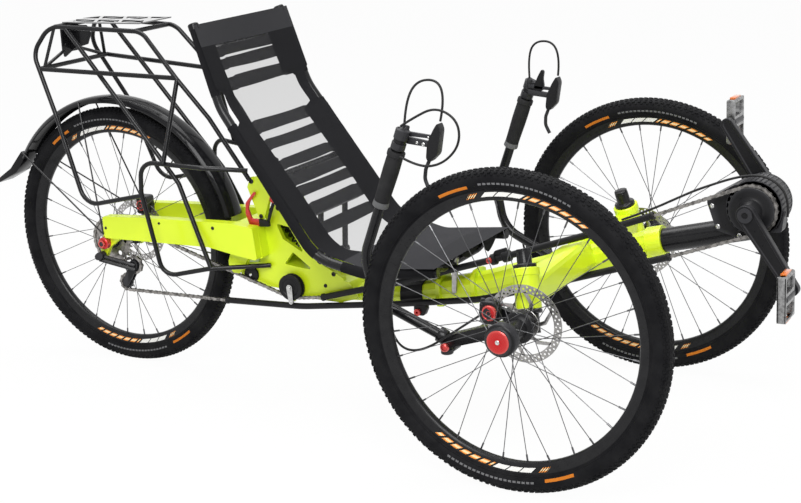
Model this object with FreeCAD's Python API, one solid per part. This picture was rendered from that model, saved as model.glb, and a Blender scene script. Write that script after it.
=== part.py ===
"""Recumbent trike with three equal wheels, two in front that steer and one behind that is driven.

Lengths are millimetres.  While a piece is made, x runs forward from the front axle, y runs to the
rider's left and z up from the floor.  save() then moves every piece by MIDDLE, so that the origin of
the finished model lies on the floor, halfway along the whole length.

Round pieces are made with flat sides, as few as keep their form, so that the whole trike stays light.
"""
import FreeCAD
import Part
import math
import os

V = FreeCAD.Vector
os.makedirs("parts", exist_ok=True)

# ---------------------------------------------------------------- driving dimensions
MIDDLE = 581.7            # from the origin forward to the front axle
WHEELBASE = 1250.0
HALF_TRACK = 395.0        # wheel mid-plane to the middle of the trike
AXLE_Z = 327.0            # also the tyre's outer radius
TYRE_HALF_WIDTH = 24.0
RIM_TOP = 284.5           # where the tyre sits
RIM_FLOOR = 263.5
WHEEL_SIDES = 32
HUB_SIDES = 12
SPOKES = 32
SPOKE_SWEEP = 62.0        # degrees between a spoke's two ends, three crossings
ROTOR_RADIUS = 80.0

KINGPIN_LEAN = 0.2754     # inward, mm per mm of height: the axis meets the tyre's contact patch
KINGPIN_RAKE = 0.2035     # backward, mm per mm of height
HEAD_LOW, HEAD_HIGH = 347.0, 423.0
PIN_RADIUS = 12.5
PIN_BORE = 13.4

BOTTOM_BRACKET = (370.0, 517.0)      # x, z of the crank's axis
CRANK_LENGTH = 170.0
CRANK_ANGLE = -56.5                  # of the right arm, from straight ahead
PEDAL_IN, PEDAL_OUT = 112.0, 176.0   # across the trike, the two ends of a pedal's cage
BOOM_LINE = ((140.0, 0.0, 419.5), (352.0, 0.0, 467.6))
BOOM_RADIUS = 25.0

CHAIN_Y = -52.0
CHAIN_HALF_HEIGHT = 4.0
CHAIN_WIDTH = 7.2
CHAINRING = (370.0, 517.0, 48.65, 24)         # x, z, pitch radius, teeth
SPROCKET = (-WHEELBASE, AXLE_Z, 57.5, 28)
IDLER = (-727.0, 254.0, 27.0)                 # x, z, radius at the chain's middle
GUIDE_PULLEY = (-1188.0, 268.0, 20.0)
TENSION_PULLEY = (-1216.0, 221.0, 20.0)
UPPER_TUBE = ((-642.0, 237.0), (-435.0, 293.0), (-179.0, 373.0), (24.0, 440.0), (166.0, 491.0))
LOWER_TUBE = ((-915.0, 203.0), (-700.0, 209.0), (-443.0, 241.0), (-231.0, 273.0), (200.0, 407.0))
HANGER_EYE = (-1262.0, 295.0)

SEAT_EDGE = ((-845.0, 884.0), (-783.0, 704.0), (-556.0, 388.0), (-440.0, 362.0), (-272.0, 376.0))
SEAT_HALF_WIDTHS = (174.0, 184.0, 196.0, 190.0, 173.0)
SEAT_BEND = 110.0
RAIL_RADIUS = 11.0
SEAT_FOOT = (-638.0, 329.0)           # x, z of the tube that rests against the tower

RACK_RADIUS = 5.6
MUDGUARD_RADIUS = 357.0


# ---------------------------------------------------------------- helpers
def save(name, shape):
    """Write one piece, moved so that the origin is the middle of the trike on the floor."""
    placed = shape.copy()
    placed.translate(V(MIDDLE, 0, 0))
    placed.exportStep(f"parts/{name}.step")


def mirrored(shape):
    return shape.mirror(V(0, 0, 0), V(0, 1, 0))


def fused(shapes):
    """One solid from several that overlap or touch."""
    return shapes[0].multiFuse(shapes[1:]).removeSplitter() if len(shapes) > 1 else shapes[0]


def unit(vector):
    return V(vector).normalize()


def between(a, b, share):
    return tuple(p + (q - p) * share for p, q in zip(a, b))


def polygon(middle, across, up, radius, sides):
    """Corners of a regular polygon, the first of them straight across from the middle."""
    angles = [2 * math.pi * i / sides for i in range(sides)]
    return [middle + (across * math.cos(a) + up * math.sin(a)) * radius for a in angles]


def skin(rings, closed=False):
    """A solid of flat faces through rings of corners, capped at both ends unless it closes on itself."""
    faces = []
    pairs = list(zip(rings, rings[1:])) + ([(rings[-1], rings[0])] if closed else [])
    for a, b in pairs:
        for i in range(len(a)):
            j = (i + 1) % len(a)
            quad = []
            for p in (a[i], a[j], b[j], b[i]):
                if all((p - q).Length > 1e-6 for q in quad):
                    quad.append(p)
            if len(quad) < 3:
                continue
            normal = (quad[1] - quad[0]).cross(quad[2] - quad[0])
            flat = abs((quad[-1] - quad[0]).dot(normal)) <= 1e-5 * normal.Length
            for part in ([quad] if flat else [quad[:3], [quad[0], quad[2], quad[3]]]):
                faces.append(Part.Face(Part.makePolygon(part + part[:1])))
    if not closed:
        faces += [Part.Face(Part.makePolygon(ring + ring[:1])) for ring in (rings[0], rings[-1])]
    shell = Part.Shell(faces)
    shell.sewShape()
    solid = Part.Solid(shell.Shells[0] if shell.ShapeType != "Shell" else shell)
    return solid if solid.Volume > 0 else solid.reversed()


def rounded(points, radius, closed=False, chord=30.0):
    """A polyline whose corners become chords of an arc; a bend shrinks where its runs are short."""
    corners = [V(*p) for p in points]
    count = len(corners)
    radii = list(radius) if isinstance(radius, (list, tuple)) else [radius] * count
    line = [] if closed else [corners[0]]
    for place, i in enumerate(range(count) if closed else range(1, count - 1)):
        corner, before, after = corners[i], corners[i - 1], corners[(i + 1) % count]
        back, ahead = before - corner, after - corner
        room = 0.45 * min(back.Length, ahead.Length)
        back, ahead = unit(back), unit(ahead)
        half = back.getAngle(ahead) / 2
        reach = min(radii[place] / math.tan(half), room)
        middle = corner + unit(back + ahead) * (reach / math.cos(half))
        start = corner + back * reach - middle
        turn = math.pi - 2 * half
        square = unit(corner + ahead * reach - middle - start * math.cos(turn)) * start.Length
        steps = max(1, math.ceil(math.degrees(turn) / chord - 0.01))
        for k in range(steps + 1):
            line.append(middle + start * math.cos(turn * k / steps) + square * math.sin(turn * k / steps))
    return line if closed else line + [corners[-1]]


def swept(path, ring):
    """Carry a ring of corners along a polyline, mitred at every corner."""
    rings = [ring]
    for i in range(1, len(path)):
        run = unit(path[i] - path[i - 1])
        ahead = unit(path[i + 1] - path[i]) if i + 1 < len(path) else run
        plane = run + ahead
        rings.append([p + run * ((path[i] - p).dot(plane) / run.dot(plane)) for p in rings[-1]])
    return skin(rings)


def swept_tube(points, radius, bend, sides=6, chord=30.0):
    """A bent round bar."""
    path = rounded(points, bend, chord=chord) if bend else [V(*p) for p in points]
    run = unit(path[1] - path[0])
    across = unit(run.cross(V(0, 0, 1) if abs(run.z) < 0.9 else V(0, 1, 0)))
    return swept(path, polygon(path[0], across, across.cross(run), radius, sides))


def swept_band(points, width, height):
    """A bar of rectangular section along a polyline in a plane square to y."""
    across, up = V(0, width / 2, 0), unit(points[1] - points[0]).cross(V(0, 1, 0)) * (height / 2)
    return swept(points, [points[0] + across * a + up * b for a, b in ((-1, -1), (1, -1), (1, 1), (-1, 1))])


def rod(start, end, radius, sides=8):
    start, end = V(*start), V(*end)
    return swept_tube((start, end), radius, 0.0, sides)


def cross_rod(x, z, y_low, y_high, radius, sides=12):
    ring = polygon(V(x, y_low, z), V(1, 0, 0), V(0, 0, 1), radius, sides)
    return Part.Face(Part.makePolygon(ring + ring[:1])).extrude(V(0, y_high - y_low, 0))


def turned(profile, x, z, sides=HUB_SIDES, start=0.0, sweep=360.0, chords=None):
    """Turn (radius, y) points about the line along y through x, z, from an angle above straight ahead."""
    steps = chords or sides
    rings = []
    for k in range(steps if sweep == 360.0 else steps + 1):
        angle = math.radians(start + sweep * k / steps)
        rings.append([V(x + r * math.cos(angle), y, z + r * math.sin(angle)) for r, y in profile])
    return skin(rings, closed=sweep == 360.0).removeSplitter()


def side_plate(outline, y_low, y_high, radius=0.0, chord=45.0):
    """Extrude an (x, z) outline along y, its corners rounded."""
    points = [V(x, y_low, z) for x, z in outline]
    if radius:
        points = rounded(points, radius, closed=True, chord=chord)
    return Part.Face(Part.makePolygon(points + points[:1])).extrude(V(0, y_high - y_low, 0))


def hull_arm(first, second, y_low, y_high, chords=4):
    """A flat arm whose outline is two circles (x, z, radius) and their outer tangents."""
    (ax, az, ar), (bx, bz, br) = first, second
    heading = math.atan2(bz - az, bx - ax)
    lean = math.acos((ar - br) / math.hypot(bx - ax, bz - az))
    outline = []
    for x, z, r, start, turn in ((bx, bz, br, heading - lean, 2 * lean),
                                 (ax, az, ar, heading + lean, 2 * math.pi - 2 * lean)):
        for k in range(chords + 1):
            angle = start + turn * k / chords
            outline.append((x + r * math.cos(angle), z + r * math.sin(angle)))
    return side_plate(outline, y_low, y_high)


def offset_line(points, distance):
    """Move a polyline of (x, z) points sideways, to the left of its direction of travel."""
    moved = []
    for i, (x, z) in enumerate(points):
        normals = []
        for a, b in ((i - 1, i), (i, i + 1)):
            if a >= 0 and b < len(points):
                dx, dz = points[b][0] - points[a][0], points[b][1] - points[a][1]
                length = math.hypot(dx, dz)
                normals.append((-dz / length, dx / length))
        nx = sum(n[0] for n in normals)
        nz = sum(n[1] for n in normals)
        scale = distance * len(normals) / (nx * nx + nz * nz)
        moved.append((x + nx * scale, z + nz * scale))
    return moved


def belt(wheels, chord=24.0):
    """Tangents and arcs over wheels (x, z, radius, turn) seen from the right, as one line of points.

    turn is +1 where the belt runs anticlockwise round a wheel, -1 where clockwise; an end has radius 0.
    """
    runs = []
    for (ax, az, ar, at), (bx, bz, br, bt) in zip(wheels, wheels[1:]):
        gap = math.hypot(bx - ax, bz - az)
        heading = math.atan2(bz - az, bx - ax) - math.asin((bt * br - at * ar) / gap)
        nx, nz = math.sin(heading), -math.cos(heading)
        runs.append(((ax + at * ar * nx, az + at * ar * nz), (bx + bt * br * nx, bz + bt * br * nz)))
    line = [runs[0][0]]
    for (x, z, r, turn), (_, enter_at), (leave_at, _) in zip(wheels[1:-1], runs, runs[1:]):
        enter = math.atan2(enter_at[1] - z, enter_at[0] - x)
        leave = math.atan2(leave_at[1] - z, leave_at[0] - x)
        sweep = (leave - enter) * turn % (2 * math.pi) * turn
        steps = max(1, math.ceil(abs(math.degrees(sweep)) / chord))
        for k in range(steps + 1):
            angle = enter + sweep * k / steps
            line.append((x + r * math.cos(angle), z + r * math.sin(angle)))
    line.append(runs[-1][1])
    return [V(x, CHAIN_Y, z) for x, z in line]


def toothed_disc(wheel, thickness, bore):
    """A flat sprocket with pointed teeth that end just inside the chain."""
    x, z, pitch_radius, teeth = wheel
    tip = pitch_radius - CHAIN_HALF_HEIGHT - 1.4
    outline = []
    for i in range(teeth):
        for share, r in ((-0.5, tip - 3.5), (0.0, tip)):
            angle = 2 * math.pi * (i + share) / teeth
            outline.append((x + r * math.cos(angle), z + r * math.sin(angle)))
    low, high = CHAIN_Y - thickness / 2, CHAIN_Y + thickness / 2
    return side_plate(outline, low, high).cut(cross_rod(x, z, low - 1, high + 1, bore, HUB_SIDES))


def kingpin(z, side=-1):
    """The point of the steering axis at a height; side -1 is the rider's right."""
    return (-(z - AXLE_Z) * KINGPIN_RAKE, side * (HALF_TRACK - z * KINGPIN_LEAN), z)


# ---------------------------------------------------------------- wheels
TYRE_SECTION = ((RIM_TOP, -12.0), (304.0, -TYRE_HALF_WIDTH), (AXLE_Z, -9.0),
                (AXLE_Z, 9.0), (304.0, TYRE_HALF_WIDTH), (RIM_TOP, 12.0))
RIM_SECTION = ((RIM_FLOOR, -6.0), (RIM_TOP, -12.5), (RIM_TOP, 12.5), (RIM_FLOOR, 6.0))

# hub sections as (radius, distance from the wheel's mid-plane towards the frame's brake side)
FRONT_BORE, REAR_BORE = 9.2, 6.8
FRONT_HUB = ((FRONT_BORE, 65.0), (22.0, 65.0), (22.0, 37.0), (31.0, 36.0), (31.0, 32.0), (23.0, 30.0),
             (23.0, -30.0), (31.0, -32.0), (31.0, -53.0), (24.0, -60.0), (FRONT_BORE, -60.0))
REAR_HUB = ((REAR_BORE, 64.0), (14.0, 64.0), (14.0, 54.0), (22.0, 54.0), (22.0, 34.0), (30.0, 33.0),
            (30.0, 29.0), (18.0, 26.0), (18.0, -26.0), (30.0, -29.0), (30.0, -33.0), (20.0, -34.0),
            (20.0, -62.0), (REAR_BORE, -62.0))
FRONT_FLANGES = (34.0, -34.0)
REAR_FLANGES = (31.0, -31.0)
FLANGE_HOLES = 26.0
SPOKE_RADIUS = 1.3
SPOKE_STAGGER = 1.0
SPOKE_GRIP = 1.5          # how far a spoke's end reaches into the rim

# name, x, mid-plane y, +1 where the brake side is to the left, hub section, flanges, rotor's distance
WHEELS = (
    ("front_right", 0.0, -HALF_TRACK, 1, FRONT_HUB, FRONT_FLANGES, 62.0),
    ("front_left", 0.0, HALF_TRACK, -1, FRONT_HUB, FRONT_FLANGES, 62.0),
    ("rear", -WHEELBASE, 0.0, 1, REAR_HUB, REAR_FLANGES, 52.0),
)


def spokes(x, y, side, flanges):
    bars = []
    for i in range(SPOKES):
        flange = flanges[i % 2] * side
        lead = 1 if i // 2 % 2 else -1
        rim_angle = math.radians(360.0 * (i + 0.5) / SPOKES)
        hub_angle = rim_angle + lead * math.radians(SPOKE_SWEEP)
        inner = (x + FLANGE_HOLES * math.cos(hub_angle), y + flange + lead * SPOKE_STAGGER,
                 AXLE_Z + FLANGE_HOLES * math.sin(hub_angle))
        reach = RIM_FLOOR + SPOKE_GRIP
        outer = (x + reach * math.cos(rim_angle), y + math.copysign(3.0, flange) + lead * SPOKE_STAGGER,
                 AXLE_Z + reach * math.sin(rim_angle))
        bars.append(rod(inner, outer, SPOKE_RADIUS, 3))
    return bars


def rotor(x, y):
    """Brake disc: a ring on six arms that lean back from a carrier."""
    ring = turned(((ROTOR_RADIUS, y - 1), (ROTOR_RADIUS, y + 1), (64, y + 1), (64, y - 1)), x, AXLE_Z, 24)
    carrier = turned(((30, y - 1), (30, y + 1), (22.3, y + 1), (22.3, y - 1)), x, AXLE_Z)
    arms = []
    for i in range(6):
        outline = []
        for degrees, r in ((-9, 27), (9, 27), (32, 68), (26, 68)):
            angle = math.radians(60 * i + degrees)
            outline.append((x + r * math.cos(angle), AXLE_Z + r * math.sin(angle)))
        arms.append(side_plate(outline, y - 1, y + 1))
    return fused([ring, carrier] + arms)


for name, x, y, side, hub, flanges, rotor_at in WHEELS:
    barrel = turned([(r, y + side * off) for r, off in hub], x, AXLE_Z)
    save(f"{name}_tyre", turned([(r, y + off) for r, off in TYRE_SECTION], x, AXLE_Z, WHEEL_SIDES))
    save(f"{name}_rim", turned([(r, y + off) for r, off in RIM_SECTION], x, AXLE_Z, WHEEL_SIDES))
    save(f"{name}_hub", barrel)
    save(f"{name}_spokes", Part.makeCompound(spokes(x, y, side, flanges)))
    save(f"{name}_rotor", rotor(x, y + side * rotor_at))


# ---------------------------------------------------------------- chain and what it runs on
def chain_tubes():
    return [swept_tube([(x, CHAIN_Y, z) for x, z in route], 7.5, 0.0, 8)
            for route in (UPPER_TUBE, LOWER_TUBE)]


def chain():
    """The two bare stretches, from tube to tube round the back and round the chainring."""
    rear = belt((UPPER_TUBE[0] + (0.0, 0), IDLER + (-1,), SPROCKET[:3] + (1,), GUIDE_PULLEY + (-1,),
                 TENSION_PULLEY + (1,), LOWER_TUBE[0] + (0.0, 0)))
    front = belt((LOWER_TUBE[-1] + (0.0, 0), CHAINRING[:3] + (1,), UPPER_TUBE[-1] + (0.0, 0)))
    bands = [swept_band(line, CHAIN_WIDTH, 2 * CHAIN_HALF_HEIGHT) for line in (rear, front)]
    return Part.makeCompound(bands).cut(Part.makeCompound(chain_tubes()))


def idler_pulleys():
    """The large pulley under the seat with its chain keeper, and the small one behind it."""
    x, z, r = IDLER
    groove = r - CHAIN_HALF_HEIGHT - 0.4
    y = CHAIN_Y
    large = turned(((0.0, y - 8), (31.0, y - 8), (31.0, y - 5), (groove, y - 4.4), (groove, y + 4.4),
                    (31.0, y + 5), (31.0, y + 8), (0.0, y + 8)), x, z)
    bolt = cross_rod(x, z, y - 13, y + 12, 5.0, 8)
    keeper = hull_arm((x, z, 9.0), (x + 2, z - 34, 7.0), y - 12.0, y - 9.5)
    keeper_pin = cross_rod(x + 2, z - 35.5, y - 12.0, y + 10.0, 2.2, 6)
    small = cross_rod(-844.0, 272.0, -47.5, -41.0, 19.0)
    small_bolt = cross_rod(-844.0, 272.0, -50.0, -40.0, 4.0, 8)
    return Part.makeCompound([fused([large, bolt, keeper, keeper_pin]), fused([small, small_bolt])])


def tensioner():
    """Two jockey wheels in a cage, on links from the hanger at the axle."""
    pieces = []
    for x, z, r in (GUIDE_PULLEY, TENSION_PULLEY):
        pieces.append(cross_rod(x, z, CHAIN_Y - 2, CHAIN_Y + 2, r - CHAIN_HALF_HEIGHT - 0.5))
        pieces.append(cross_rod(x, z, CHAIN_Y - 7, CHAIN_Y + 7, 5.0, 6))
    gx, gz, _ = GUIDE_PULLEY
    tx, tz, _ = TENSION_PULLEY
    for y in (CHAIN_Y - 7.5, CHAIN_Y + 5.5):
        pieces.append(hull_arm((gx, gz, 12.0), (tx, tz, 10.0), y, y + 2.0))
    hx, hz = HANGER_EYE
    pieces.append(hull_arm((hx, hz, 10.0), (hx - 8, hz - 4, 8.0), -96.0, -79.2))
    for drop in (-11.0, 0.0):
        pieces.append(rod((hx - 6, -90.0, hz + drop), (gx + 4, CHAIN_Y - 7.0, gz + drop), 5.0, 6))
    return fused(pieces)


save("chain", chain())
save("chain_tubes", Part.makeCompound(chain_tubes()))
save("chainring", toothed_disc(CHAINRING, 3.0, 20.0))
save("rear_sprocket", toothed_disc(SPROCKET, 3.0, 20.3))
save("idler_pulleys", idler_pulleys())
save("chain_tensioner", tensioner())


# ---------------------------------------------------------------- frame
def box_tube(stations):
    """Loft rounded rectangles (x, z, half width, half height, corner) set square to x."""
    rings = []
    for x, z, w, h, c in stations:
        corners = [(x, -w, z - h), (x, w, z - h), (x, w, z + h), (x, -w, z + h)]
        rings.append(rounded(corners, c, closed=True, chord=45.0))
    return skin(rings)


LOWER_BODY = ((-878, 266), (-836, 247), (-754, 243), (-714, 227), (-600, 225), (-549, 241),
              (-573, 275), (-675, 296), (-749, 305), (-814, 304), (-869, 299))
TOWER_SIDE = ((-820, 300), (-793, 413), (-765, 448), (-742, 462), (-657, 318), (-573, 275),
              (-640, 262), (-760, 262))
TOWER_WINDOW = ((-751, 303), (-725, 336), (-672, 297))
SHOCK_SLOT = ((-766, 402), (-731, 396), (-692, 334), (-750, 366))
PLATE_INNER, PLATE_OUTER = 28.0, 40.0


def main_frame():
    tube = box_tube(((150, 419.5, 27, 31, 21), (-20, 366, 27, 31, 21), (-250, 292, 27, 30, 21)))
    rear = box_tube(((-250, 292, 27, 30, 21), (-420, 258, 26, 24, 18), (-620, 240, 25, 18, 14)))
    collar = rod(BOOM_LINE[0], between(*BOOM_LINE, 0.15), 32.0, 12)
    lower = side_plate(LOWER_BODY, -PLATE_OUTER, PLATE_OUTER, 8.0)
    plates = []
    for y in (-PLATE_OUTER, PLATE_INNER):
        plate = side_plate(TOWER_SIDE, y, y + PLATE_OUTER - PLATE_INNER, 8.0)
        window = side_plate(TOWER_WINDOW, y - 1, y + 13, 3.0)
        slot = side_plate(SHOCK_SLOT, y - 1, y + 13, 3.0)
        plates.append(plate.cut(window).cut(slot))
    front_web = side_plate(((-742, 462), (-752, 456), (-668, 314), (-657, 318)), -PLATE_INNER, PLATE_INNER)
    return fused([tube, rear, collar, lower, front_web] + plates)


def fold_joint(frame_body):
    """Flanges where the main tube comes apart behind the cross member, and a clamp band behind them."""
    rings = []
    for x, z, w, h, reach in ((-262.0, 289.0, 33.0, 39.0, 5.0), (-350.0, 270.0, 33.0, 37.0, 5.0),
                              (-421.0, 258.0, 29.0, 27.0, 28.0)):
        rings.append(box_tube(((x - reach, z - reach / 5, w, h, 18), (x + reach, z + reach / 5, w, h, 18))))
    return Part.makeCompound(rings).cut(frame_body)


# y, middle height, half length, half height, tilt in degrees
CROSS_SECTIONS = ((-24.0, 381.5, 38.0, 31.0, 17.7), (-80.0, 381.5, 36.0, 31.0, 17.7),
                  (-180.0, 380.0, 29.0, 30.0, 9.0), (-286.0, 378.0, 25.0, 28.0, 0.0))
CROSS_X = -14.0


def cross_member():
    """The right half: a tapered box tube out to the head tube, tilted at its root like the main tube."""
    rings = []
    for y, z, half_length, half_height, tilt in CROSS_SECTIONS:
        c, t = math.cos(math.radians(tilt)), math.sin(math.radians(tilt))
        corners = []
        for a, b in ((-half_length, -half_height), (half_length, -half_height),
                     (half_length, half_height), (-half_length, half_height)):
            corners.append((CROSS_X + a * c - b * t, y, z + a * t + b * c))
        rings.append(rounded(corners, 12.0, closed=True, chord=45.0))
    bore = rod(kingpin(HEAD_LOW - 30), kingpin(HEAD_HIGH + 30), PIN_BORE, 16)
    knuckle_room = rod(kingpin(HEAD_LOW - 50), kingpin(HEAD_LOW), 26.0, 12)
    head = rod(kingpin(HEAD_LOW), kingpin(HEAD_HIGH), 25.5, 12)
    collar = rod(kingpin(HEAD_HIGH - 12), kingpin(HEAD_HIGH), 27.5, 12)
    return fused([skin(rings), head, collar]).cut(bore).cut(knuckle_room)


frame_body = main_frame()
right_arm = cross_member().cut(frame_body)
save("main_frame", frame_body)
save("cross_member", Part.makeCompound([right_arm, mirrored(right_arm)]))
save("fold_joint", fold_joint(frame_body))
save("boom", rod(between(*BOOM_LINE, 0.151), BOOM_LINE[1], BOOM_RADIUS, 16))


def gearbox():
    """Round gearbox at the boom's end, with its mounting plate and the crank spindle's bore."""
    x, z = BOTTOM_BRACKET
    body = cross_rod(x, z, -40, 38, 56, 20)
    plate = side_plate(((271, 527), (292, 466), (340, 452), (398, 470), (398, 560), (330, 562)), -34, 34, 8)
    shift_box = side_plate(((395, 470), (424, 470), (430, 512), (412, 528), (395, 528)), -34, -4, 6)
    housing = fused([body, plate, shift_box]).cut(cross_rod(x, z, -60, 60, 12.9, 16))
    return housing.cut(rod(BOOM_LINE[0], BOOM_LINE[1], BOOM_RADIUS + 0.05, 16))


save("gearbox_housing", gearbox())


# ---------------------------------------------------------------- cranks and pedals
def cranks():
    x, z = BOTTOM_BRACKET
    pieces = [cross_rod(x, z, -86, 86, 12.0)]
    for side, turn in ((-1, 0.0), (1, 180.0)):
        angle = math.radians(CRANK_ANGLE + turn)
        end = (x + CRANK_LENGTH * math.cos(angle), z + CRANK_LENGTH * math.sin(angle))
        low, high = sorted((side * 84.0, side * 100.0))
        pieces.append(hull_arm((x, z, 19.0), end + (13.0,), low, high))
    pieces.append(turned(((0.0, -47.0), (19.7, -47.0), (19.7, -57.0), (46.0, -57.0), (46.0, -60.0),
                          (19.7, -60.0), (16.0, -85.0), (0.0, -85.0)), x, z))
    return fused(pieces)


def pedal(side):
    """Caged pedal, hanging upright."""
    angle = math.radians(CRANK_ANGLE + (0.0 if side < 0 else 180.0))
    x = BOTTOM_BRACKET[0] + CRANK_LENGTH * math.cos(angle)
    z = BOTTOM_BRACKET[1] + CRANK_LENGTH * math.sin(angle)
    axle = cross_rod(x, z, -180, -100.3, 5.0, 8)
    barrel = cross_rod(x, z, -PEDAL_OUT, -PEDAL_IN, 11.0, 8)
    outline = ((x - 9, z - 46), (x + 9, z - 46), (x + 9, z + 46), (x - 9, z + 46))
    cage = side_plate(outline, -PEDAL_OUT, -PEDAL_IN, 4.0)
    for z_low in (z - 40, z + 12):
        cage = cage.cut(Part.makeBox(40, 50, 28, V(x - 20, -PEDAL_OUT + 7, z_low)))
    body = fused([cage, barrel, axle])
    return body if side < 0 else mirrored(body)


save("cranks", cranks())
save("right_pedal", pedal(-1))
save("left_pedal", pedal(1))


# ---------------------------------------------------------------- rear suspension
ARM_OUTER, ARM_INNER = 92.0, 67.0
AXLE_RADIUS = 6.0
NUT_FACE = ARM_INNER + 12.2            # where a nut sits against the dropout


def swing_arm(frame_body):
    right = side_plate(((-1244, 342), (-1244, 397), (-1100, 403), (-860, 407), (-800, 400), (-792, 322),
                        (-850, 330), (-930, 344)), -ARM_OUTER, -ARM_INNER, 6.0)
    dropouts = [hull_arm((-WHEELBASE, AXLE_Z, 16.0), (-1215, 362, 24.0), -ARM_INNER - 12, -ARM_INNER),
                hull_arm((-WHEELBASE, AXLE_Z, 14.0), HANGER_EYE + (9.0,), -ARM_INNER - 12, -ARM_INNER)]
    yoke = side_plate(((-903, 345), (-903, 382), (-870, 402), (-800, 400), (-790, 320), (-850, 330)),
                      -70, 70, 6.0)
    hanger = hull_arm((-870, 300, 22.0), (-850, 345, 26.0), -68, -50)
    one_side = fused([right, hanger] + dropouts)
    return fused([one_side, mirrored(one_side), yoke]).cut(axle_bar()).cut(frame_body)


def axle_bar():
    return cross_rod(-WHEELBASE, AXLE_Z, -96, 96, AXLE_RADIUS)


def rear_axle():
    """Through axle with cone nuts."""
    nuts = [turned(((0.0, s * NUT_FACE), (15.0, s * NUT_FACE), (15.0, s * 90.0), (9.0, s * 99.0),
                    (0.0, s * 99.0)), -WHEELBASE, AXLE_Z, 12) for s in (-1, 1)]
    return fused([axle_bar()] + nuts)


save("rear_axle", rear_axle())
save("swing_arm", swing_arm(frame_body))

SHOCK_TOP, SHOCK_LOW = V(-783, 0, 428), V(-690, 0, 322)


def shock():
    def along(share):
        return SHOCK_TOP + (SHOCK_LOW - SHOCK_TOP) * share

    body = rod(along(0.02), along(0.55), 17.0)
    coil = [rod(along(0.28 + 0.09 * i), along(0.32 + 0.09 * i), 24.0, 8) for i in range(4)]
    shaft = rod(along(0.5), along(0.98), 9.0)
    eyes = [cross_rod(p.x, p.z, -PLATE_INNER + 0.2, PLATE_INNER - 0.2, 9.0, 8) for p in (SHOCK_TOP, SHOCK_LOW)]
    return fused([body, shaft] + coil + eyes)


save("shock_absorber", shock())


# ---------------------------------------------------------------- seat
COVER = 1.9
RAIL_DEPTH = RAIL_RADIUS + COVER + 0.3     # from the front of the sling back to the tubes' middle
RAIL_LINE = offset_line(SEAT_EDGE, -RAIL_DEPTH)


def seat_frame():
    """Two bent side tubes with capped tops, the tubes across between them, and the legs to the tower."""
    rail = swept_tube([(x, -w, z) for (x, z), w in zip(RAIL_LINE, SEAT_HALF_WIDTHS)],
                      RAIL_RADIUS, SEAT_BEND + RAIL_DEPTH, 8, 22.5)
    top, upper, lower, pan, nose = RAIL_LINE
    crossings = [between(top, upper, 0.25) + (176.0,), between(upper, lower, 0.5) + (190.0,),
                 between(upper, lower, 0.78) + (192.0,), between(pan, nose, 0.85) + (175.0,)]
    bars = [cross_rod(x, z, -w, w, 8.5, 8) for x, z, w in crossings]
    foot_x, foot_z = SEAT_FOOT
    leg_x, leg_z, _ = crossings[2]
    foot = [cross_rod(foot_x, foot_z, -60, 60, 10.0, 8)]
    legs = [rod((foot_x, y, foot_z), (leg_x, y, leg_z), 7.0, 8) for y in (-54.0, 54.0)]
    return fused([rail, mirrored(rail)] + bars + foot + legs)


def seat_cover():
    """The stretched sling, a plain sheet over the front of the tubes."""
    line = rounded([(x, 0, z) for x, z in offset_line(SEAT_EDGE, -COVER / 2)], SEAT_BEND + COVER / 2, chord=22.5)
    return swept_band(line, 380.0, COVER)


def seat_straps():
    """Flat straps across the back between the tubes."""
    top, upper, lower = RAIL_LINE[:3]
    straps = []
    for low, high, shares in ((top, upper, (0.12, 0.32, 0.52, 0.72, 0.9)),
                              (upper, lower, (0.08, 0.18, 0.28, 0.38, 0.48, 0.62, 0.74))):
        along = unit(V(high[0] - low[0], 0, high[1] - low[1]))
        out = V(-along.z, 0, along.x)
        for share in shares:
            x, z = between(low, high, share)
            outline = [V(x, 0, z) + along * a + out * b for a, b in ((-13, 5.0), (13, 5.0), (13, 6.6), (-13, 6.6))]
            straps.append(side_plate([(p.x, p.z) for p in outline], -170.0, 170.0))
    return Part.makeCompound(straps)


def seat_mount():
    """Link plates from the tower up to the seat back, and the pins through them."""
    outline = ((-832, 488), (-822, 512), (-806, 514), (-762, 492), (-790, 414), (-804, 414))
    plates = [side_plate(outline, y, y + 11.8) for y in (-52.0, 40.2)]
    return fused(plates + [cross_rod(-818, 503, -54, 54, 7.0, 8), cross_rod(-797, 421, -54, 54, 5.0, 8)])


save("seat_frame", seat_frame())
save("seat_cover", seat_cover())
save("seat_straps", seat_straps())
save("seat_mount", seat_mount())


# ---------------------------------------------------------------- rack and mudguard
UPPER_LOOP = ((-818, -60, 507), (-915, -66, 650), (-993, -76, 744), (-1090, -66, 850), (-1354, -87, 862),
              (-1392, -110, 800), (-1316, -138, 655), (-1240, -152, 438), (-1066, -150, 474))
LOWER_LOOP = ((-820, -62, 530), (-913, -120, 543), (-1062, -150, 556), (-1068, -150, 480), (-1030, -143, 276),
              (-916, -114, 298), (-786, -45.1, 300))
MID_RAIL = ((-1357, -127, 764), (-993, -76, 744))
DIAGONAL = ((-1305, -84, 857), (-1000, -92, 495), (-912, -112, 300))
STRUT = ((-990, -76, 742), (-999, -146, 553))


SMALLEST_BAR = 500.0      # mm3, less than which a bar's cut end is no bar


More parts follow.
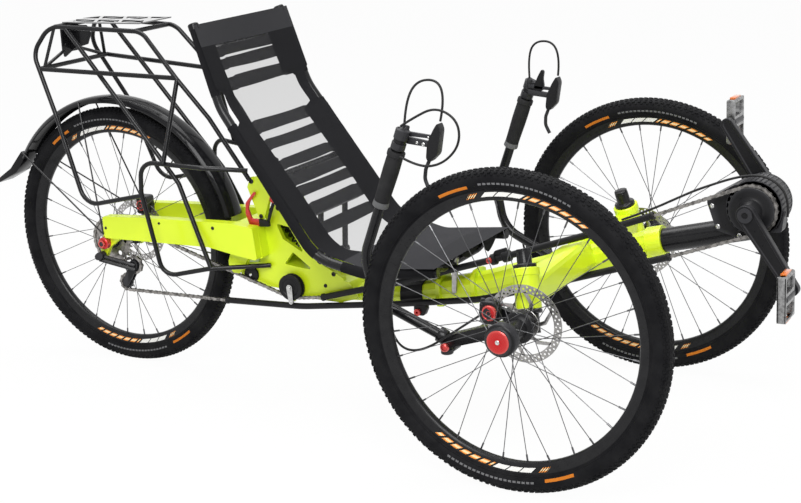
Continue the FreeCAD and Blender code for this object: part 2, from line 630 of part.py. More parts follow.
def rack():
    """Bent bars, each cut off at those before it, as the real ones are before they are welded."""
    side = [
        swept_tube(UPPER_LOOP, RACK_RADIUS, 45.0, chord=45.0),
        swept_tube(LOWER_LOOP, RACK_RADIUS, 35.0, chord=45.0),
        swept_tube(DIAGONAL, RACK_RADIUS, 35.0, chord=45.0),
        rod(*MID_RAIL, RACK_RADIUS, 6),
        rod(*STRUT, RACK_RADIUS, 6),
    ]
    across = [rod((x, -w, z), (x, w, z), RACK_RADIUS, 6) for x, w, z in
              ((-1335.0, 87.0, 861.0), (-1110.0, 68.0, 851.0), (-1357.0, 126.0, 765.0))]
    bars = []
    for bar in side + [mirrored(bar) for bar in side] + across:
        rest = bar.cut(bars) if bars else bar
        bars += [piece for piece in rest.Solids if piece.Volume > SMALLEST_BAR]
    return Part.makeCompound(bars)


def rack_plate():
    """Top plate with slots for straps."""
    deck = Part.makeBox(235, 126, 3, V(-1332, -63, 867))
    slots = []
    for i in range(4):
        for y in (-50.0, 12.0):
            slots.append(Part.makeBox(36, 38, 5, V(-1320 + 56 * i, y, 866)))
    return deck.cut(Part.makeCompound(slots))


LAMP_SPACING = 50.0
LAMP_HOLE = 2.6


def lamp_bracket():
    outline = ((-1392, 771), (-1354, 797), (-1311, 808), (-1298, 835), (-1310, 855), (-1392, 855))
    plate = side_plate(outline, -1.5, 1.5, 4.0)
    cheek = Part.makeBox(4, 70, 60, V(-1366, -35, 790))
    bracket = fused([plate, cheek])
    for y in (-LAMP_SPACING / 2, LAMP_SPACING / 2):
        bracket = bracket.cut(Part.makeCylinder(LAMP_HOLE, 10, V(-1369, y, 810), V(1, 0, 0)))
    return bracket


MUD_FRONT, MUD_REAR = 12.5, 147.0     # degrees above straight ahead, about the rear axle
MUD_SHELL = 2.5
MUD_EDGES = ((-14.0, -32.0), (-3.0, -22.0), (0.0, 0.0), (-3.0, 22.0), (-14.0, 32.0))   # radius change, y


def mudguard():
    outer = [(MUDGUARD_RADIUS + dr, y) for dr, y in MUD_EDGES]
    inner = [(r - MUD_SHELL, y) for r, y in reversed(outer)]
    blade = turned(outer + inner, -WHEELBASE, AXLE_Z, start=MUD_FRONT, sweep=MUD_REAR - MUD_FRONT, chords=13)
    flap = side_plate(((-1547, 531), (-1538, 524), (-1545, 505), (-1572, 474), (-1634, 444), (-1640, 452),
                       (-1590, 484)), -26, 26)
    return fused([blade, flap])


def mudguard_stays():
    stays = []
    for top_x, top_z in ((-1540, 530), (-1337, 668)):
        for side in (-1, 1):
            stays.append(rod((-1244, side * 94.0, 352), (top_x, side * 30.0, top_z), 2.0, 6))
    return Part.makeCompound(stays).cut(mudguard())


save("rear_rack", rack())
save("rack_plate", rack_plate())
save("lamp_bracket", lamp_bracket())
save("rear_mudguard", mudguard())
save("mudguard_stays", mudguard_stays())


# ---------------------------------------------------------------- steering
FOOT = (-184.0, -302.0, 264.0)
BAR_LINE = (FOOT, (-345.0, -316.0, 338.0), (-362.0, -319.0, 432.0), (-266.0, -314.0, 684.0))
BAR_RADIUS = 11.0
BAR_ROOM = 11.5           # bore of what sits on the bar, out to its corners
TIE_END = (-191.0, -300.0, 238.0)
STUB_END = -452.0
BALL_RADIUS = 4.0


def on_bar(share):
    """A point along the straight upper part of the right-hand bar."""
    return between(BAR_LINE[2], BAR_LINE[3], share)


def knuckle():
    pin = rod(kingpin(AXLE_Z - 4), kingpin(HEAD_HIGH + 2), PIN_RADIUS, 16)
    cap = rod(kingpin(HEAD_HIGH + 0.8), kingpin(HEAD_HIGH + 8), 23.0, 12)
    top = rod(kingpin(HEAD_HIGH + 6), kingpin(HEAD_HIGH + 37), 15.0, 10)
    beyond = Part.makeBox(200, 60, 200, V(-100, -385, 260))
    block = rod(kingpin(AXLE_Z - 26), kingpin(HEAD_LOW - 1), 19.0, 12).cut(beyond)
    stub = cross_rod(0.0, AXLE_Z, STUB_END, -300.0, 8.5)
    arm = hull_arm((-8.0, 318.0, 15.0), (FOOT[0], FOOT[2] - 2, 13.0), -315.0, -289.0)
    calliper_lug = hull_arm((-8.0, 316.0, 14.0), (-78.0, 346.0, 9.0), -316.0, -306.0)
    stud = rod((TIE_END[0], TIE_END[1], FOOT[2] - 6), (TIE_END[0], TIE_END[1], TIE_END[2] - 4), BALL_RADIUS, 8)
    return fused([pin, cap, top, block, stub, arm, calliper_lug, stud])


def calliper(x, z, wheel_x, y_rotor, half_width):
    """Brake calliper astride the disc, with its round adjuster on the right."""
    outline = ((x - 17, z - 23), (x + 17, z - 23), (x + 17, z + 23), (x - 17, z + 23))
    body = side_plate(outline, y_rotor - half_width, y_rotor + half_width, 6.0)
    slot = cross_rod(wheel_x, AXLE_Z, y_rotor - 3, y_rotor + 3, ROTOR_RADIUS + 5, 30)
    knob = cross_rod(x, z, y_rotor - half_width - 7, y_rotor - half_width, 13.0, 10)
    return fused([body, knob]).cut(slot)


def brake_lever():
    """Clamp, lever body and blade on top of the right-hand bar."""
    clamp = rod(on_bar(0.90), on_bar(1.06), 15.0, 10)
    link = rod(on_bar(1.0), (-203, -298, 676), 8.0, 8)
    outline = ((-187, 714), (-181, 700), (-190, 650), (-209, 632), (-216, 640), (-212, 672), (-197, 700))
    body = side_plate(outline, -308.0, -287.0)
    blade = swept_tube(((-210, -298, 640), (-222, -301, 612), (-216, -304, 578)), 4.0, 14.0)
    return fused([clamp, link, body, blade]).cut(rod(on_bar(0.6), on_bar(1.0), BAR_ROOM, 12))


def grip():
    return rod(on_bar(0.42), on_bar(0.885), 17.0, 10).cut(rod(on_bar(0.3), on_bar(1.0), BAR_ROOM, 12))


def bar():
    return swept_tube(BAR_LINE, BAR_RADIUS, 70.0, 8).cut(knuckle())


def tie_rod():
    """The rod between the steering arms; its left eye has room for the arms' small change of distance."""
    eyes = []
    for side, hole in ((-1, BALL_RADIUS + 1.6), (1, 9.0)):
        x, y, z = TIE_END[0], -side * TIE_END[1], TIE_END[2]
        outer = rod((x, y, z - 5.5), (x, y, z + 5.5), 13.0, 12)
        eyes.append(outer.cut(rod((x, y, z - 8), (x, y, z + 8), hole, 10)))
    middle = rod((TIE_END[0], -288, TIE_END[2]), (TIE_END[0], 288, TIE_END[2]), 6.0, 8)
    return fused(eyes + [middle])


# cable routes by hand, seen from the right-hand lever down
BRAKE_LOOP = ((-262, -306, 704), (-261, -298, 752), (-240, -286, 794), (-192, -284, 796), (-178, -290, 756),
              (-186, -296, 715))
BRAKE_LOW = ((-306, -333, 310), (-301, -333, 272), (-273, -333, 240), (-226, -333, 246), (-160, -333, 290),
             (-91, -333, 338))
SHIFT_LOOP = ((-262, -332, 648), (-225, -324, 626), (-176, -314, 632), (-138, -308, 672), (-142, -306, 722),
              (-190, -306, 746), (-240, -310, 722), (-264, -318, 706))
GEARBOX_LOOP = ((98, -52, 477.4), (156, -45, 500), (217, -36, 530), (257, -30, 549), (346, -20, 581),
                (400, -20, 578), (436, -20, 540), (432, -20, 500))
CABLE_RADIUS = 2.5
WIDEST = 1000.0           # a bend wider than any of the runs allow, so each bend takes what there is


def cables(*routes):
    return Part.makeCompound([swept_tube(route, CABLE_RADIUS, WIDEST, 5) for route in routes])


both = {
    "knuckle": knuckle(),
    "handlebar": bar(),
    "grip": grip(),
    "brake_lever": brake_lever(),
    "brake_calliper": calliper(-72.0, 346.0, 0.0, -HALF_TRACK + 62.0, 17.0),
    "brake_cables": cables(BRAKE_LOOP, BRAKE_LOW),
}
for name, shape in both.items():
    save(f"right_{name}", shape)
    save(f"left_{name}", mirrored(shape))
save("shift_cables", cables(SHIFT_LOOP))
save("gearbox_cables", cables(GEARBOX_LOOP))
save("rear_brake_calliper", calliper(-1222.0, 397.0, -WHEELBASE, 52.0, 14.0))
save("tie_rod", tie_rod())
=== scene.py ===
# %% [markdown]
# # A recumbent trike, dressed for rendering
#
# The engineering model of this trike is already there: every tube, wheel and bracket is a solid with
# the right size and place.  What it lacks is what the eye looks for, such as round tubes, tread,
# chain links, woven cloth and paint.  This notebook makes those pieces one after another, each fitted
# to the solid that it stands for, and hides the solid behind it.

# %% The frame
import math
import bpy
from mathutils import Matrix, Vector


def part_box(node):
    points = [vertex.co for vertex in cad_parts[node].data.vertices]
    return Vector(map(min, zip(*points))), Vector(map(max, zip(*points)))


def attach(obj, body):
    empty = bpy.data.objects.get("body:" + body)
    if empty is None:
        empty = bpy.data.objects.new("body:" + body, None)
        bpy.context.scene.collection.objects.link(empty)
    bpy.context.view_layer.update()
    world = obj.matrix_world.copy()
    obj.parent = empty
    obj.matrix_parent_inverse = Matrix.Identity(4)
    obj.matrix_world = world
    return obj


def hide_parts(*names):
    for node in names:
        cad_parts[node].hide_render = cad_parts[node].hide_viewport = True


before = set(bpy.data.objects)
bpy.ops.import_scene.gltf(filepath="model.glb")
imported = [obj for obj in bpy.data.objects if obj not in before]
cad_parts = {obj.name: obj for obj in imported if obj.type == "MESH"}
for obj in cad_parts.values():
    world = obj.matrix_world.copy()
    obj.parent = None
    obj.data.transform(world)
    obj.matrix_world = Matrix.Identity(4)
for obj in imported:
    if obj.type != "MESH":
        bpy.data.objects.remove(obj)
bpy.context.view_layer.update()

# %% [markdown]
# ## Measuring from the front axle
#
# On a cycle nearly everything is measured from an axle, so this notebook does the same: `at` takes
# millimetres forward of the front axle, to the rider's left and up from the floor, and gives the place
# in the model, which is in metres.  The axle itself is read from the front tyre's solid, so nothing
# drifts if the model moves.

# %% Places
MM = 0.001
tyre_low, tyre_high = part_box("front_right_tyre")
AXLE = (tyre_low + tyre_high) / 2
AXLE_Z = AXLE.z / MM
HALF_TRACK = -AXLE.y / MM
WHEELBASE = (AXLE.x - sum(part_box("rear_tyre"), Vector()).x / 2) / MM
RIGHT_HUB, LEFT_HUB = (0.0, -HALF_TRACK), (0.0, HALF_TRACK)      # x and y of each wheel's middle
REAR_HUB = (-WHEELBASE, 0.0)


def at(x, y, z):
    """A place in the model, from millimetres measured from the front axle."""
    return Vector((AXLE.x + x * MM, y * MM, z * MM))


print(f"axle {AXLE_Z:.0f} mm up, track {2 * HALF_TRACK:.0f} mm, wheelbase {WHEELBASE:.0f} mm")

# %% [markdown]
# ## The camera
#
# A long lens from a little above shows the near side of the trike and its front at once.  The camera's
# place is given as an azimuth and a height about the point it looks at, which is easier to think about
# than three coordinates.  The camera is also tipped a few degrees about its own line of sight.

# %% Camera
AZIMUTH, ELEVATION, ROLL = math.radians(29.41), math.radians(14.91), math.radians(-2.96)
back = Vector((math.sin(AZIMUTH) * math.cos(ELEVATION), -math.cos(AZIMUTH) * math.cos(ELEVATION),
               math.sin(ELEVATION)))
level = Vector((math.cos(AZIMUTH), math.sin(AZIMUTH), 0.0))
upward = back.cross(level)
right = level * math.cos(ROLL) + upward * math.sin(ROLL)
top = upward * math.cos(ROLL) - level * math.sin(ROLL)
camera = bpy.data.objects.new("camera", bpy.data.cameras.new("camera"))
bpy.context.scene.collection.objects.link(camera)
camera.matrix_world = Matrix.Translation(at(-458.0, 0.0, 349.5) + back * 3.5198) @ Matrix(
    (right, top, back)).transposed().to_4x4()
camera.data.lens = 69.35
camera.data.clip_end = 60.0
bpy.context.scene.camera = camera
print("camera at", [round(v, 3) for v in camera.location])

# %% [markdown]
# ## Selecting
#
# Nearly every tool in Blender acts on what is selected, and the solids come in selected.  So each step
# first lets go of everything and then picks exactly what it works on.  Inside a mesh, points are
# picked by where they are.

# %% Selecting pieces and points
def pick(*pieces):
    """Select just these pieces, the first of them active."""
    bpy.ops.object.select_all(action="DESELECT")
    for piece in pieces:
        piece.select_set(True)
    bpy.context.view_layer.objects.active = pieces[0]


def edit(piece):
    """Open a piece in edit mode with nothing in it selected."""
    pick(piece)
    bpy.ops.object.mode_set(mode="EDIT")
    bpy.ops.mesh.select_all(action="DESELECT")


def edit_points(piece, wanted):
    """Open a piece in edit mode with the points selected whose place passes the test."""
    edit(piece)
    bpy.ops.object.mode_set(mode="OBJECT")
    for vertex in piece.data.vertices:
        vertex.select = bool(wanted(vertex.co))
    bpy.ops.object.mode_set(mode="EDIT")


def edit_all(piece):
    edit(piece)
    bpy.ops.mesh.select_all(action="SELECT")


def done():
    bpy.ops.object.mode_set(mode="OBJECT")


def faces_out():
    """Turn every face of the open piece outwards, and close it."""
    bpy.ops.mesh.select_all(action="SELECT")
    bpy.ops.mesh.normals_make_consistent(inside=False)
    done()


def joined(name, *pieces):
    """Several pieces as one, under a new name."""
    pick(*pieces)
    if len(pieces) > 1:
        bpy.ops.object.join()
    pieces[0].name = name
    return pieces[0]


def copy_of(piece, name, matrix=Matrix.Identity(4)):
    """A copy with its own mesh, moved by a matrix; a mirrored copy has its faces turned out again."""
    copy = piece.copy()
    copy.data = piece.data.copy()
    copy.name = name
    bpy.context.scene.collection.objects.link(copy)
    copy.data.transform(matrix)
    if matrix.determinant() < 0:
        copy.data.flip_normals()
    return copy


def cut_away(piece, tool):
    """Cut one piece's shape out of another, and take the cutter away."""
    cut = piece.modifiers.new("cut", "BOOLEAN")
    cut.object = tool
    cut.solver = "EXACT"
    pick(piece)
    bpy.ops.object.modifier_apply(modifier=cut.name)
    bpy.data.objects.remove(tool)


SWAP_SIDES = Matrix.Scale(-1.0, 4, (0.0, 1.0, 0.0))

# %% [markdown]
# ## Drawing a line of points
#
# A lathe profile, the middle line of a tube and the outline of a plate are all the same thing: a line
# of points.  It starts as a plane whose four corners are merged into one point, and that point is
# extruded from place to place.

# %% Lines
def drawn(name, points, closed=False):
    """A line of points, extruded one after another."""
    bpy.ops.object.select_all(action="DESELECT")
    bpy.ops.mesh.primitive_plane_add(size=0.001, location=points[0])
    piece = bpy.context.object
    piece.name = name
    bpy.ops.object.mode_set(mode="EDIT")
    bpy.ops.mesh.merge(type="CENTER")
    for start, end in zip(points, points[1:]):
        bpy.ops.mesh.extrude_region_move(TRANSFORM_OT_translate={"value": end - start})
    done()
    bpy.ops.object.transform_apply()
    if closed:
        ends = (Vector(points[0]), Vector(points[-1]))
        edit_points(piece, lambda co: min((co - end).length for end in ends) < 1e-6)
        bpy.ops.mesh.edge_face_add()
        done()
    return piece


def bend_corner(piece, corner, reach, steps):
    """Round one corner of a line, from `reach` before it to `reach` after it."""
    edit_points(piece, lambda co: (co - corner).length < 1e-6)
    bpy.ops.mesh.bevel(offset=reach, offset_type="OFFSET", segments=steps, affect="VERTICES")
    done()

# %% [markdown]
# ## Four ways to make a part
#
# Nearly everything on a cycle is either turned, bent, cut from plate or moulded, and there is one
# helper for each.  `lathe` spins a profile round an axle.  `tube` rounds the corners of a line and
# gives it a round section.  `plate` fills an outline and gives it thickness.  `refined` starts from
# the solid itself, and breaks its sharp edges as a casting or a weld would.

# %% Turned parts
def lathe(name, profile, centre, axis=(0.0, 1.0, 0.0), steps=48, closed=False, degrees=360.0,
          start=0.0, capped=False):
    """Spin (radius, distance along the axis) points, in millimetres, round an axis through a centre."""
    axis = Vector(axis).normalized()
    side = Vector((1.0, 0.0, 0.0)) - axis * axis.x
    side = Matrix.Rotation(-math.radians(start), 3, axis) @ side.normalized()
    points = [centre + side * (radius * MM) + axis * (along * MM) for radius, along in profile]
    piece = drawn(name, points, closed)
    edit_all(piece)
    if capped:
        bpy.ops.mesh.edge_face_add()
    bpy.ops.mesh.spin(steps=steps, angle=math.radians(degrees), center=centre, axis=axis)
    bpy.ops.mesh.select_all(action="SELECT")
    bpy.ops.mesh.remove_doubles(threshold=1e-6)
    bpy.ops.mesh.dissolve_degenerate()
    faces_out()
    return piece


def ring_of(piece, count, centre, axis=(0.0, 1.0, 0.0)):
    """Copy what is in a piece all the way round an axis."""
    edit_all(piece)
    bpy.ops.mesh.spin(steps=count - 1, dupli=True, angle=2 * math.pi * (count - 1) / count,
                      center=centre, axis=axis)
    done()
    return piece

# %% Bent tubes
def tube(name, points, radius, bend=0.0, sides=12, steps=6):
    """A bent round tube through places in millimetres; a bend shrinks where its runs are short."""
    corners = [at(*point) for point in points]
    piece = drawn(name, corners)
    if bend:
        for before, corner, after in zip(corners, corners[1:], corners[2:]):
            half = (before - corner).angle(after - corner) / 2
            room = 0.45 * min((before - corner).length, (after - corner).length)
            bend_corner(piece, corner, min(bend * MM / math.tan(half), room), steps)
    pick(piece)
    bpy.ops.object.convert(target="CURVE")
    curve = bpy.context.object
    curve.data.bevel_depth = radius * MM
    curve.data.bevel_resolution = sides // 4 - 1
    curve.data.use_fill_caps = True
    bpy.ops.object.convert(target="MESH")
    piece = bpy.context.object
    edit_all(piece)
    bpy.ops.mesh.remove_doubles(threshold=1e-6)
    faces_out()
    return piece

# %% Plates
def broken_edges(piece, width, segments=2, angle=30.0):
    """Round every sharp edge of a piece."""
    pick(piece)
    bevel = piece.modifiers.new("edges", "BEVEL")
    bevel.width = width * MM
    bevel.segments = segments
    bevel.limit_method = "ANGLE"
    bevel.angle_limit = math.radians(angle)
    bpy.ops.object.modifier_apply(modifier=bevel.name)
    return piece


def plate(name, outline, low, high, corner=0.0, edge=0.6, segments=2):
    """Fill an (x, z) outline in millimetres and thicken it from y = low to y = high."""
    corners = [at(x, low, z) for x, z in outline]
    piece = drawn(name, corners, closed=True)
    if corner:
        edit_all(piece)
        bpy.ops.mesh.bevel(offset=corner * MM, offset_type="OFFSET", segments=4, affect="VERTICES")
        done()
    edit_all(piece)
    bpy.ops.mesh.edge_face_add()
    bpy.ops.mesh.extrude_region_move(TRANSFORM_OT_translate={"value": (0, (high - low) * MM, 0)})
    faces_out()
    return broken_edges(piece, edge, segments) if edge else piece


def rectangle(x_low, x_high, z_low, z_high):
    return [(x_low, z_low), (x_high, z_low), (x_high, z_high), (x_low, z_high)]


def strip(name, first, second, low, high, edge=0.8):
    """A flat arm between two round ends, each an (x, z, radius)."""
    (ax, az, ar), (bx, bz, br) = first, second
    heading = math.atan2(bz - az, bx - ax)
    lean = math.acos((ar - br) / math.hypot(bx - ax, bz - az))
    outline = []
    for x, z, r, start, turn in ((bx, bz, br, heading - lean, 2 * lean),
                                 (ax, az, ar, heading + lean, 2 * math.pi - 2 * lean)):
        outline += [(x + r * math.cos(start + turn * k / 12), z + r * math.sin(start + turn * k / 12))
                    for k in range(13)]
    return plate(name, outline, low, high, edge=edge)

# %% Cast and welded parts
def refined(node, name, width=1.2, segments=2, angle=30.0):
    """A finer copy of a solid: its flats merged, its edges rounded."""
    piece = copy_of(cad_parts[node], name)
    piece.parent = None
    for key in [key for key in piece.keys() if key.startswith("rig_")]:
        del piece[key]
    edit_all(piece)
    bpy.ops.mesh.remove_doubles(threshold=2e-6)
    bpy.ops.mesh.select_all(action="SELECT")
    bpy.ops.mesh.dissolve_limited(angle_limit=math.radians(1.0))
    done()
    return broken_edges(piece, width, segments, angle)


def settle(piece, body, finish, slot, *stands_for, smooth=38.0, weighted=False):
    """Shade a finished piece, paint it, and hang it on the part of the trike that it moves with."""
    pick(piece)
    bpy.ops.object.shade_smooth_by_angle(angle=math.radians(smooth))
    if weighted:
        normals = piece.modifiers.new("normals", "WEIGHTED_NORMAL")
        normals.keep_sharp = True
        bpy.ops.object.modifier_apply(modifier=normals.name)
    if finish is not None:
        piece.data.materials.clear()
        piece.data.materials.append(finish)
    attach(piece, body)
    if stands_for:
        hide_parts(*stands_for)
    print(f"{piece.name}: {len(piece.data.polygons)} faces, on {body}")
    return piece

# %% [markdown]
# ## Finishes
#
# A finish is more than a colour.  Sprayed paint has a slight orange peel, anodising is matt with fine
# scratches, rubber is dusty.  Each finish below is a Principled shader whose plain numbers sit on its
# own sockets, with a little noise on its roughness and a little height for the light to catch.  The
# noise reads the object's own coordinates in metres, so a scale of 400 gives grains of about 2.5 mm.

# %% A finish and its grain
def new_finish(name, colour, roughness, metallic=0.0, **sockets):
    """A material with a plain shader; `sockets` are more of the shader's own numbers."""
    finish = bpy.data.materials.new(name)
    finish.use_nodes = True
    shader = finish.node_tree.nodes["Principled BSDF"]
    shader.inputs["Base Color"].default_value = (*colour, 1.0)
    shader.inputs["Roughness"].default_value = roughness
    shader.inputs["Metallic"].default_value = metallic
    for socket, value in sockets.items():
        shader.inputs[socket.replace("_", " ")].default_value = value
    return finish


def node(finish, kind, **inputs):
    """Add a node and set its numbers; a key in capitals is a setting of the node itself."""
    made = finish.node_tree.nodes.new(kind)
    for key, value in inputs.items():
        if key.isupper():
            setattr(made, key.lower(), value)
        else:
            made.inputs[key.replace("_", " ")].default_value = value
    return made


def link(finish, start, end):
    finish.node_tree.links.new(start, end)


def shader_of(finish):
    return finish.node_tree.nodes["Principled BSDF"]


def coordinates(finish, which="Object", scale=(1.0, 1.0, 1.0)):
    """Where a pattern is read, stretched by a scale along each axis."""
    source = node(finish, "ShaderNodeTexCoord")
    mapping = node(finish, "ShaderNodeMapping", Scale=scale)
    link(finish, source.outputs[which], mapping.inputs["Vector"])
    return mapping.outputs["Vector"]


def noise(finish, where, scale, detail=3.0):
    made = node(finish, "ShaderNodeTexNoise", Scale=scale, Detail=detail)
    link(finish, where, made.inputs["Vector"])
    return made.outputs["Fac"]


def spread(finish, value, low, high, start=0.3, end=0.7):
    """Turn a value that runs from start to end into one that runs from low to high."""
    made = node(finish, "ShaderNodeMapRange")
    for socket, number in (("From Min", start), ("From Max", end), ("To Min", low), ("To Max", high)):
        made.inputs[socket].default_value = number
    link(finish, value, made.inputs["Value"])
    return made.outputs["Result"]


def mixed(finish, share, first, second, socket="Base Color"):
    """Mix two colours by a share and lead them to the shader."""
    made = node(finish, "ShaderNodeMix", DATA_TYPE="RGBA")
    link(finish, share, made.inputs[0])
    for place, colour in ((6, first), (7, second)):
        if isinstance(colour, tuple):
            made.inputs[place].default_value = (*colour, 1.0)
        else:
            link(finish, colour, made.inputs[place])
    if socket:
        link(finish, made.outputs[2], shader_of(finish).inputs[socket])
    return made.outputs[2]


def maths(finish, operation, first, second=None, third=None):
    made = node(finish, "ShaderNodeMath", OPERATION=operation)
    for place, value in enumerate((first, second, third)):
        if isinstance(value, (int, float)):
            made.inputs[place].default_value = value
        elif value is not None:
            link(finish, value, made.inputs[place])
    return made.outputs["Value"]


def between(finish, value, low, high):
    """1 where a value lies between two numbers."""
    above = maths(finish, "GREATER_THAN", value, low)
    below = maths(finish, "LESS_THAN", value, high)
    return maths(finish, "MULTIPLY", above, below)


def repeating(finish, value, count, gap):
    """Equal steps, a number of them for each whole one of a value: 0 in the gap that starts each, then 1."""
    step = maths(finish, "FRACT", maths(finish, "MULTIPLY", value, count))
    return maths(finish, "GREATER_THAN", step, gap)


def raised(finish, height, distance):
    """Let the light see a height, in metres."""
    bump = node(finish, "ShaderNodeBump", Distance=distance, Strength=1.0)
    link(finish, height, bump.inputs["Height"])
    link(finish, bump.outputs["Normal"], shader_of(finish).inputs["Normal"])


def rough(finish, value):
    link(finish, value, shader_of(finish).inputs["Roughness"])

# %% [markdown]
# ### Paint
#
# The frame is sprayed in a neon lime under clear lacquer.  Two noises do the work: a coarse one that
# shifts the colour by a few percent, as paint thickness does over a weld, and a fine shallow one that
# gives the lacquer its orange peel.  The black tubes are powder coated, which is a little rougher.

# %% Lime paint and black paint
lime_paint = new_finish("lime_paint", (0.70, 0.88, 0.010), 0.42, Coat_Weight=0.3, Coat_Roughness=0.12)
where = coordinates(lime_paint)
mixed(lime_paint, spread(lime_paint, noise(lime_paint, where, 9.0), 0.0, 1.0),
      (0.66, 0.84, 0.009), (0.73, 0.90, 0.013))
rough(lime_paint, spread(lime_paint, noise(lime_paint, where, 60.0), 0.38, 0.46))
raised(lime_paint, noise(lime_paint, where, 420.0, 2.0), 0.00006)

black_paint = new_finish("black_paint", (0.012, 0.012, 0.013), 0.26, Coat_Weight=0.12, Coat_Roughness=0.1,
                         Specular_IOR_Level=0.2)
where = coordinates(black_paint)
mixed(black_paint, spread(black_paint, noise(black_paint, where, 14.0), 0.0, 1.0),
      (0.006, 0.006, 0.007), (0.011, 0.011, 0.012))
rough(black_paint, spread(black_paint, noise(black_paint, where, 90.0), 0.2, 0.34))
raised(black_paint, noise(black_paint, where, 700.0, 2.0), 0.00004)
plate_gloss = new_finish("plate_gloss", (0.02, 0.02, 0.021), 0.12, Coat_Weight=1.0, Coat_Roughness=0.05,
                         Coat_IOR=2.2)
print("paint: lime and black")

# %% [markdown]
# ### Anodised metal
#
# Cranks, rims, hubs and the gearbox are aluminium dyed black, and a few knobs are dyed red.  The dye
# is in a thin clear skin on metal, so it shines softly and shows fine turning marks.  Corners that rub
# are paler, which the mesh's pointiness finds.

# %% Anodised black and red
def worn_corners(finish, base, bare):
    """Pale corners, where the surface is more pointed than flat."""
    geometry = node(finish, "ShaderNodeNewGeometry")
    mixed(finish, spread(finish, geometry.outputs["Pointiness"], 0.0, 0.55, 0.515, 0.56), base, bare)


black_anodised = new_finish("black_anodised", (0.010, 0.010, 0.011), 0.34, 0.0, Specular_IOR_Level=0.2)
where = coordinates(black_anodised)
worn_corners(black_anodised, (0.009, 0.009, 0.010), (0.05, 0.05, 0.055))
rough(black_anodised, spread(black_anodised, noise(black_anodised, where, 160.0), 0.27, 0.42))
raised(black_anodised, noise(black_anodised, coordinates(black_anodised, scale=(1.0, 14.0, 1.0)), 300.0),
       0.00003)

red_anodised = new_finish("red_anodised", (0.55, 0.012, 0.014), 0.28, 0.75, Coat_Weight=0.3)
where = coordinates(red_anodised)
worn_corners(red_anodised, (0.52, 0.010, 0.012), (0.75, 0.16, 0.14))
rough(red_anodised, spread(red_anodised, noise(red_anodised, where, 200.0), 0.22, 0.36))
raised(red_anodised, noise(red_anodised, coordinates(red_anodised, scale=(1.0, 20.0, 1.0)), 260.0),
       0.00003)
print("anodised: black and red")

# %% [markdown]
# ### Bare metal
#
# The chain is nickel-plated steel with oil in its joints, the discs are ground stainless steel and the
# bolts are zinc plated.  They share one recipe and differ in how dark and how rough they are.

# %% Steel
def steel(name, colour, roughness, dirt, grain=220.0, stretch=(1.0, 1.0, 1.0)):
    finish = new_finish(name, colour, roughness, 1.0)
    where = coordinates(finish)
    mixed(finish, spread(finish, noise(finish, where, 120.0, 4.0), 0.0, 1.0, 0.42, 0.68),
          colour, tuple(c * dirt for c in colour))
    rough(finish, spread(finish, noise(finish, where, 300.0), roughness * 0.75, roughness * 1.3))
    raised(finish, noise(finish, coordinates(finish, scale=stretch), grain), 0.00003)
    return finish


bright_steel = steel("bright_steel", (0.62, 0.62, 0.61), 0.26, 0.7)
disc_steel = steel("disc_steel", (0.44, 0.43, 0.42), 0.34, 0.75, 500.0, (1.0, 0.1, 1.0))
chain_steel = steel("chain_steel", (0.36, 0.345, 0.33), 0.36, 0.3)
pedal_steel = steel("pedal_steel", (0.34, 0.34, 0.34), 0.3, 0.45)
spoke_steel = steel("spoke_steel", (0.12, 0.12, 0.125), 0.34, 0.7)
print("steel: bolts, discs, chain and spokes")

# %% [markdown]
# ### Rubber and plastic
#
# Rubber has hardly any shine and picks up dust, so its colour is uneven at a scale of centimetres.
# The mudguard is a glossy plastic, the chain tubes a satin one.

# %% Rubber and plastic
def moulded(name, colour, roughness, dust, grain, depth):
    finish = new_finish(name, colour, roughness, 0.0, Specular_IOR_Level=0.18)
    where = coordinates(finish)
    mixed(finish, spread(finish, noise(finish, where, 35.0, 5.0), 0.0, 1.0), colour, dust)
    rough(finish, spread(finish, noise(finish, where, 110.0), roughness * 0.85, min(1.0, roughness * 1.15)))
    raised(finish, noise(finish, where, grain, 3.0), depth)
    return finish


grip_rubber = moulded("grip_rubber", (0.014, 0.014, 0.015), 0.72, (0.022, 0.022, 0.023), 900.0, 0.0002)
grip_grey = moulded("grip_grey", (0.115, 0.117, 0.12), 0.62, (0.15, 0.15, 0.155), 900.0, 0.0001)
cable_rubber = moulded("cable_rubber", (0.014, 0.014, 0.015), 0.42, (0.022, 0.022, 0.022), 900.0, 0.00004)
black_plastic = moulded("black_plastic", (0.009, 0.009, 0.010), 0.38, (0.014, 0.014, 0.015), 800.0, 0.00005)
gloss_plastic = moulded("gloss_plastic", (0.006, 0.006, 0.007), 0.16, (0.009, 0.009, 0.010), 500.0, 0.00002)
amber_reflector = new_finish("amber_reflector", (0.85, 0.20, 0.02), 0.18, 0.0, Coat_Weight=0.8)
cells = node(amber_reflector, "ShaderNodeTexVoronoi", Scale=420.0)
link(amber_reflector, coordinates(amber_reflector), cells.inputs["Vector"])
mixed(amber_reflector, spread(amber_reflector, cells.outputs["Distance"], 0.0, 1.0, 0.1, 0.6),
      (0.95, 0.30, 0.03), (0.62, 0.12, 0.01))
raised(amber_reflector, cells.outputs["Distance"], 0.0003)
print("rubber, plastic and the reflectors' amber")

# %% [markdown]
# ## Control cables
#
# Cables come before everything else, because they are the only pieces that hang freely.  Each leaves
# the lever cluster, makes one loop in the air and goes back into the trike.  A NURBS curve is the
# right tool: it passes near its points in one smooth line, as a stiff cable does, where a polyline
# would look like bent wire.  The curve's order and its end points are set after its points exist.

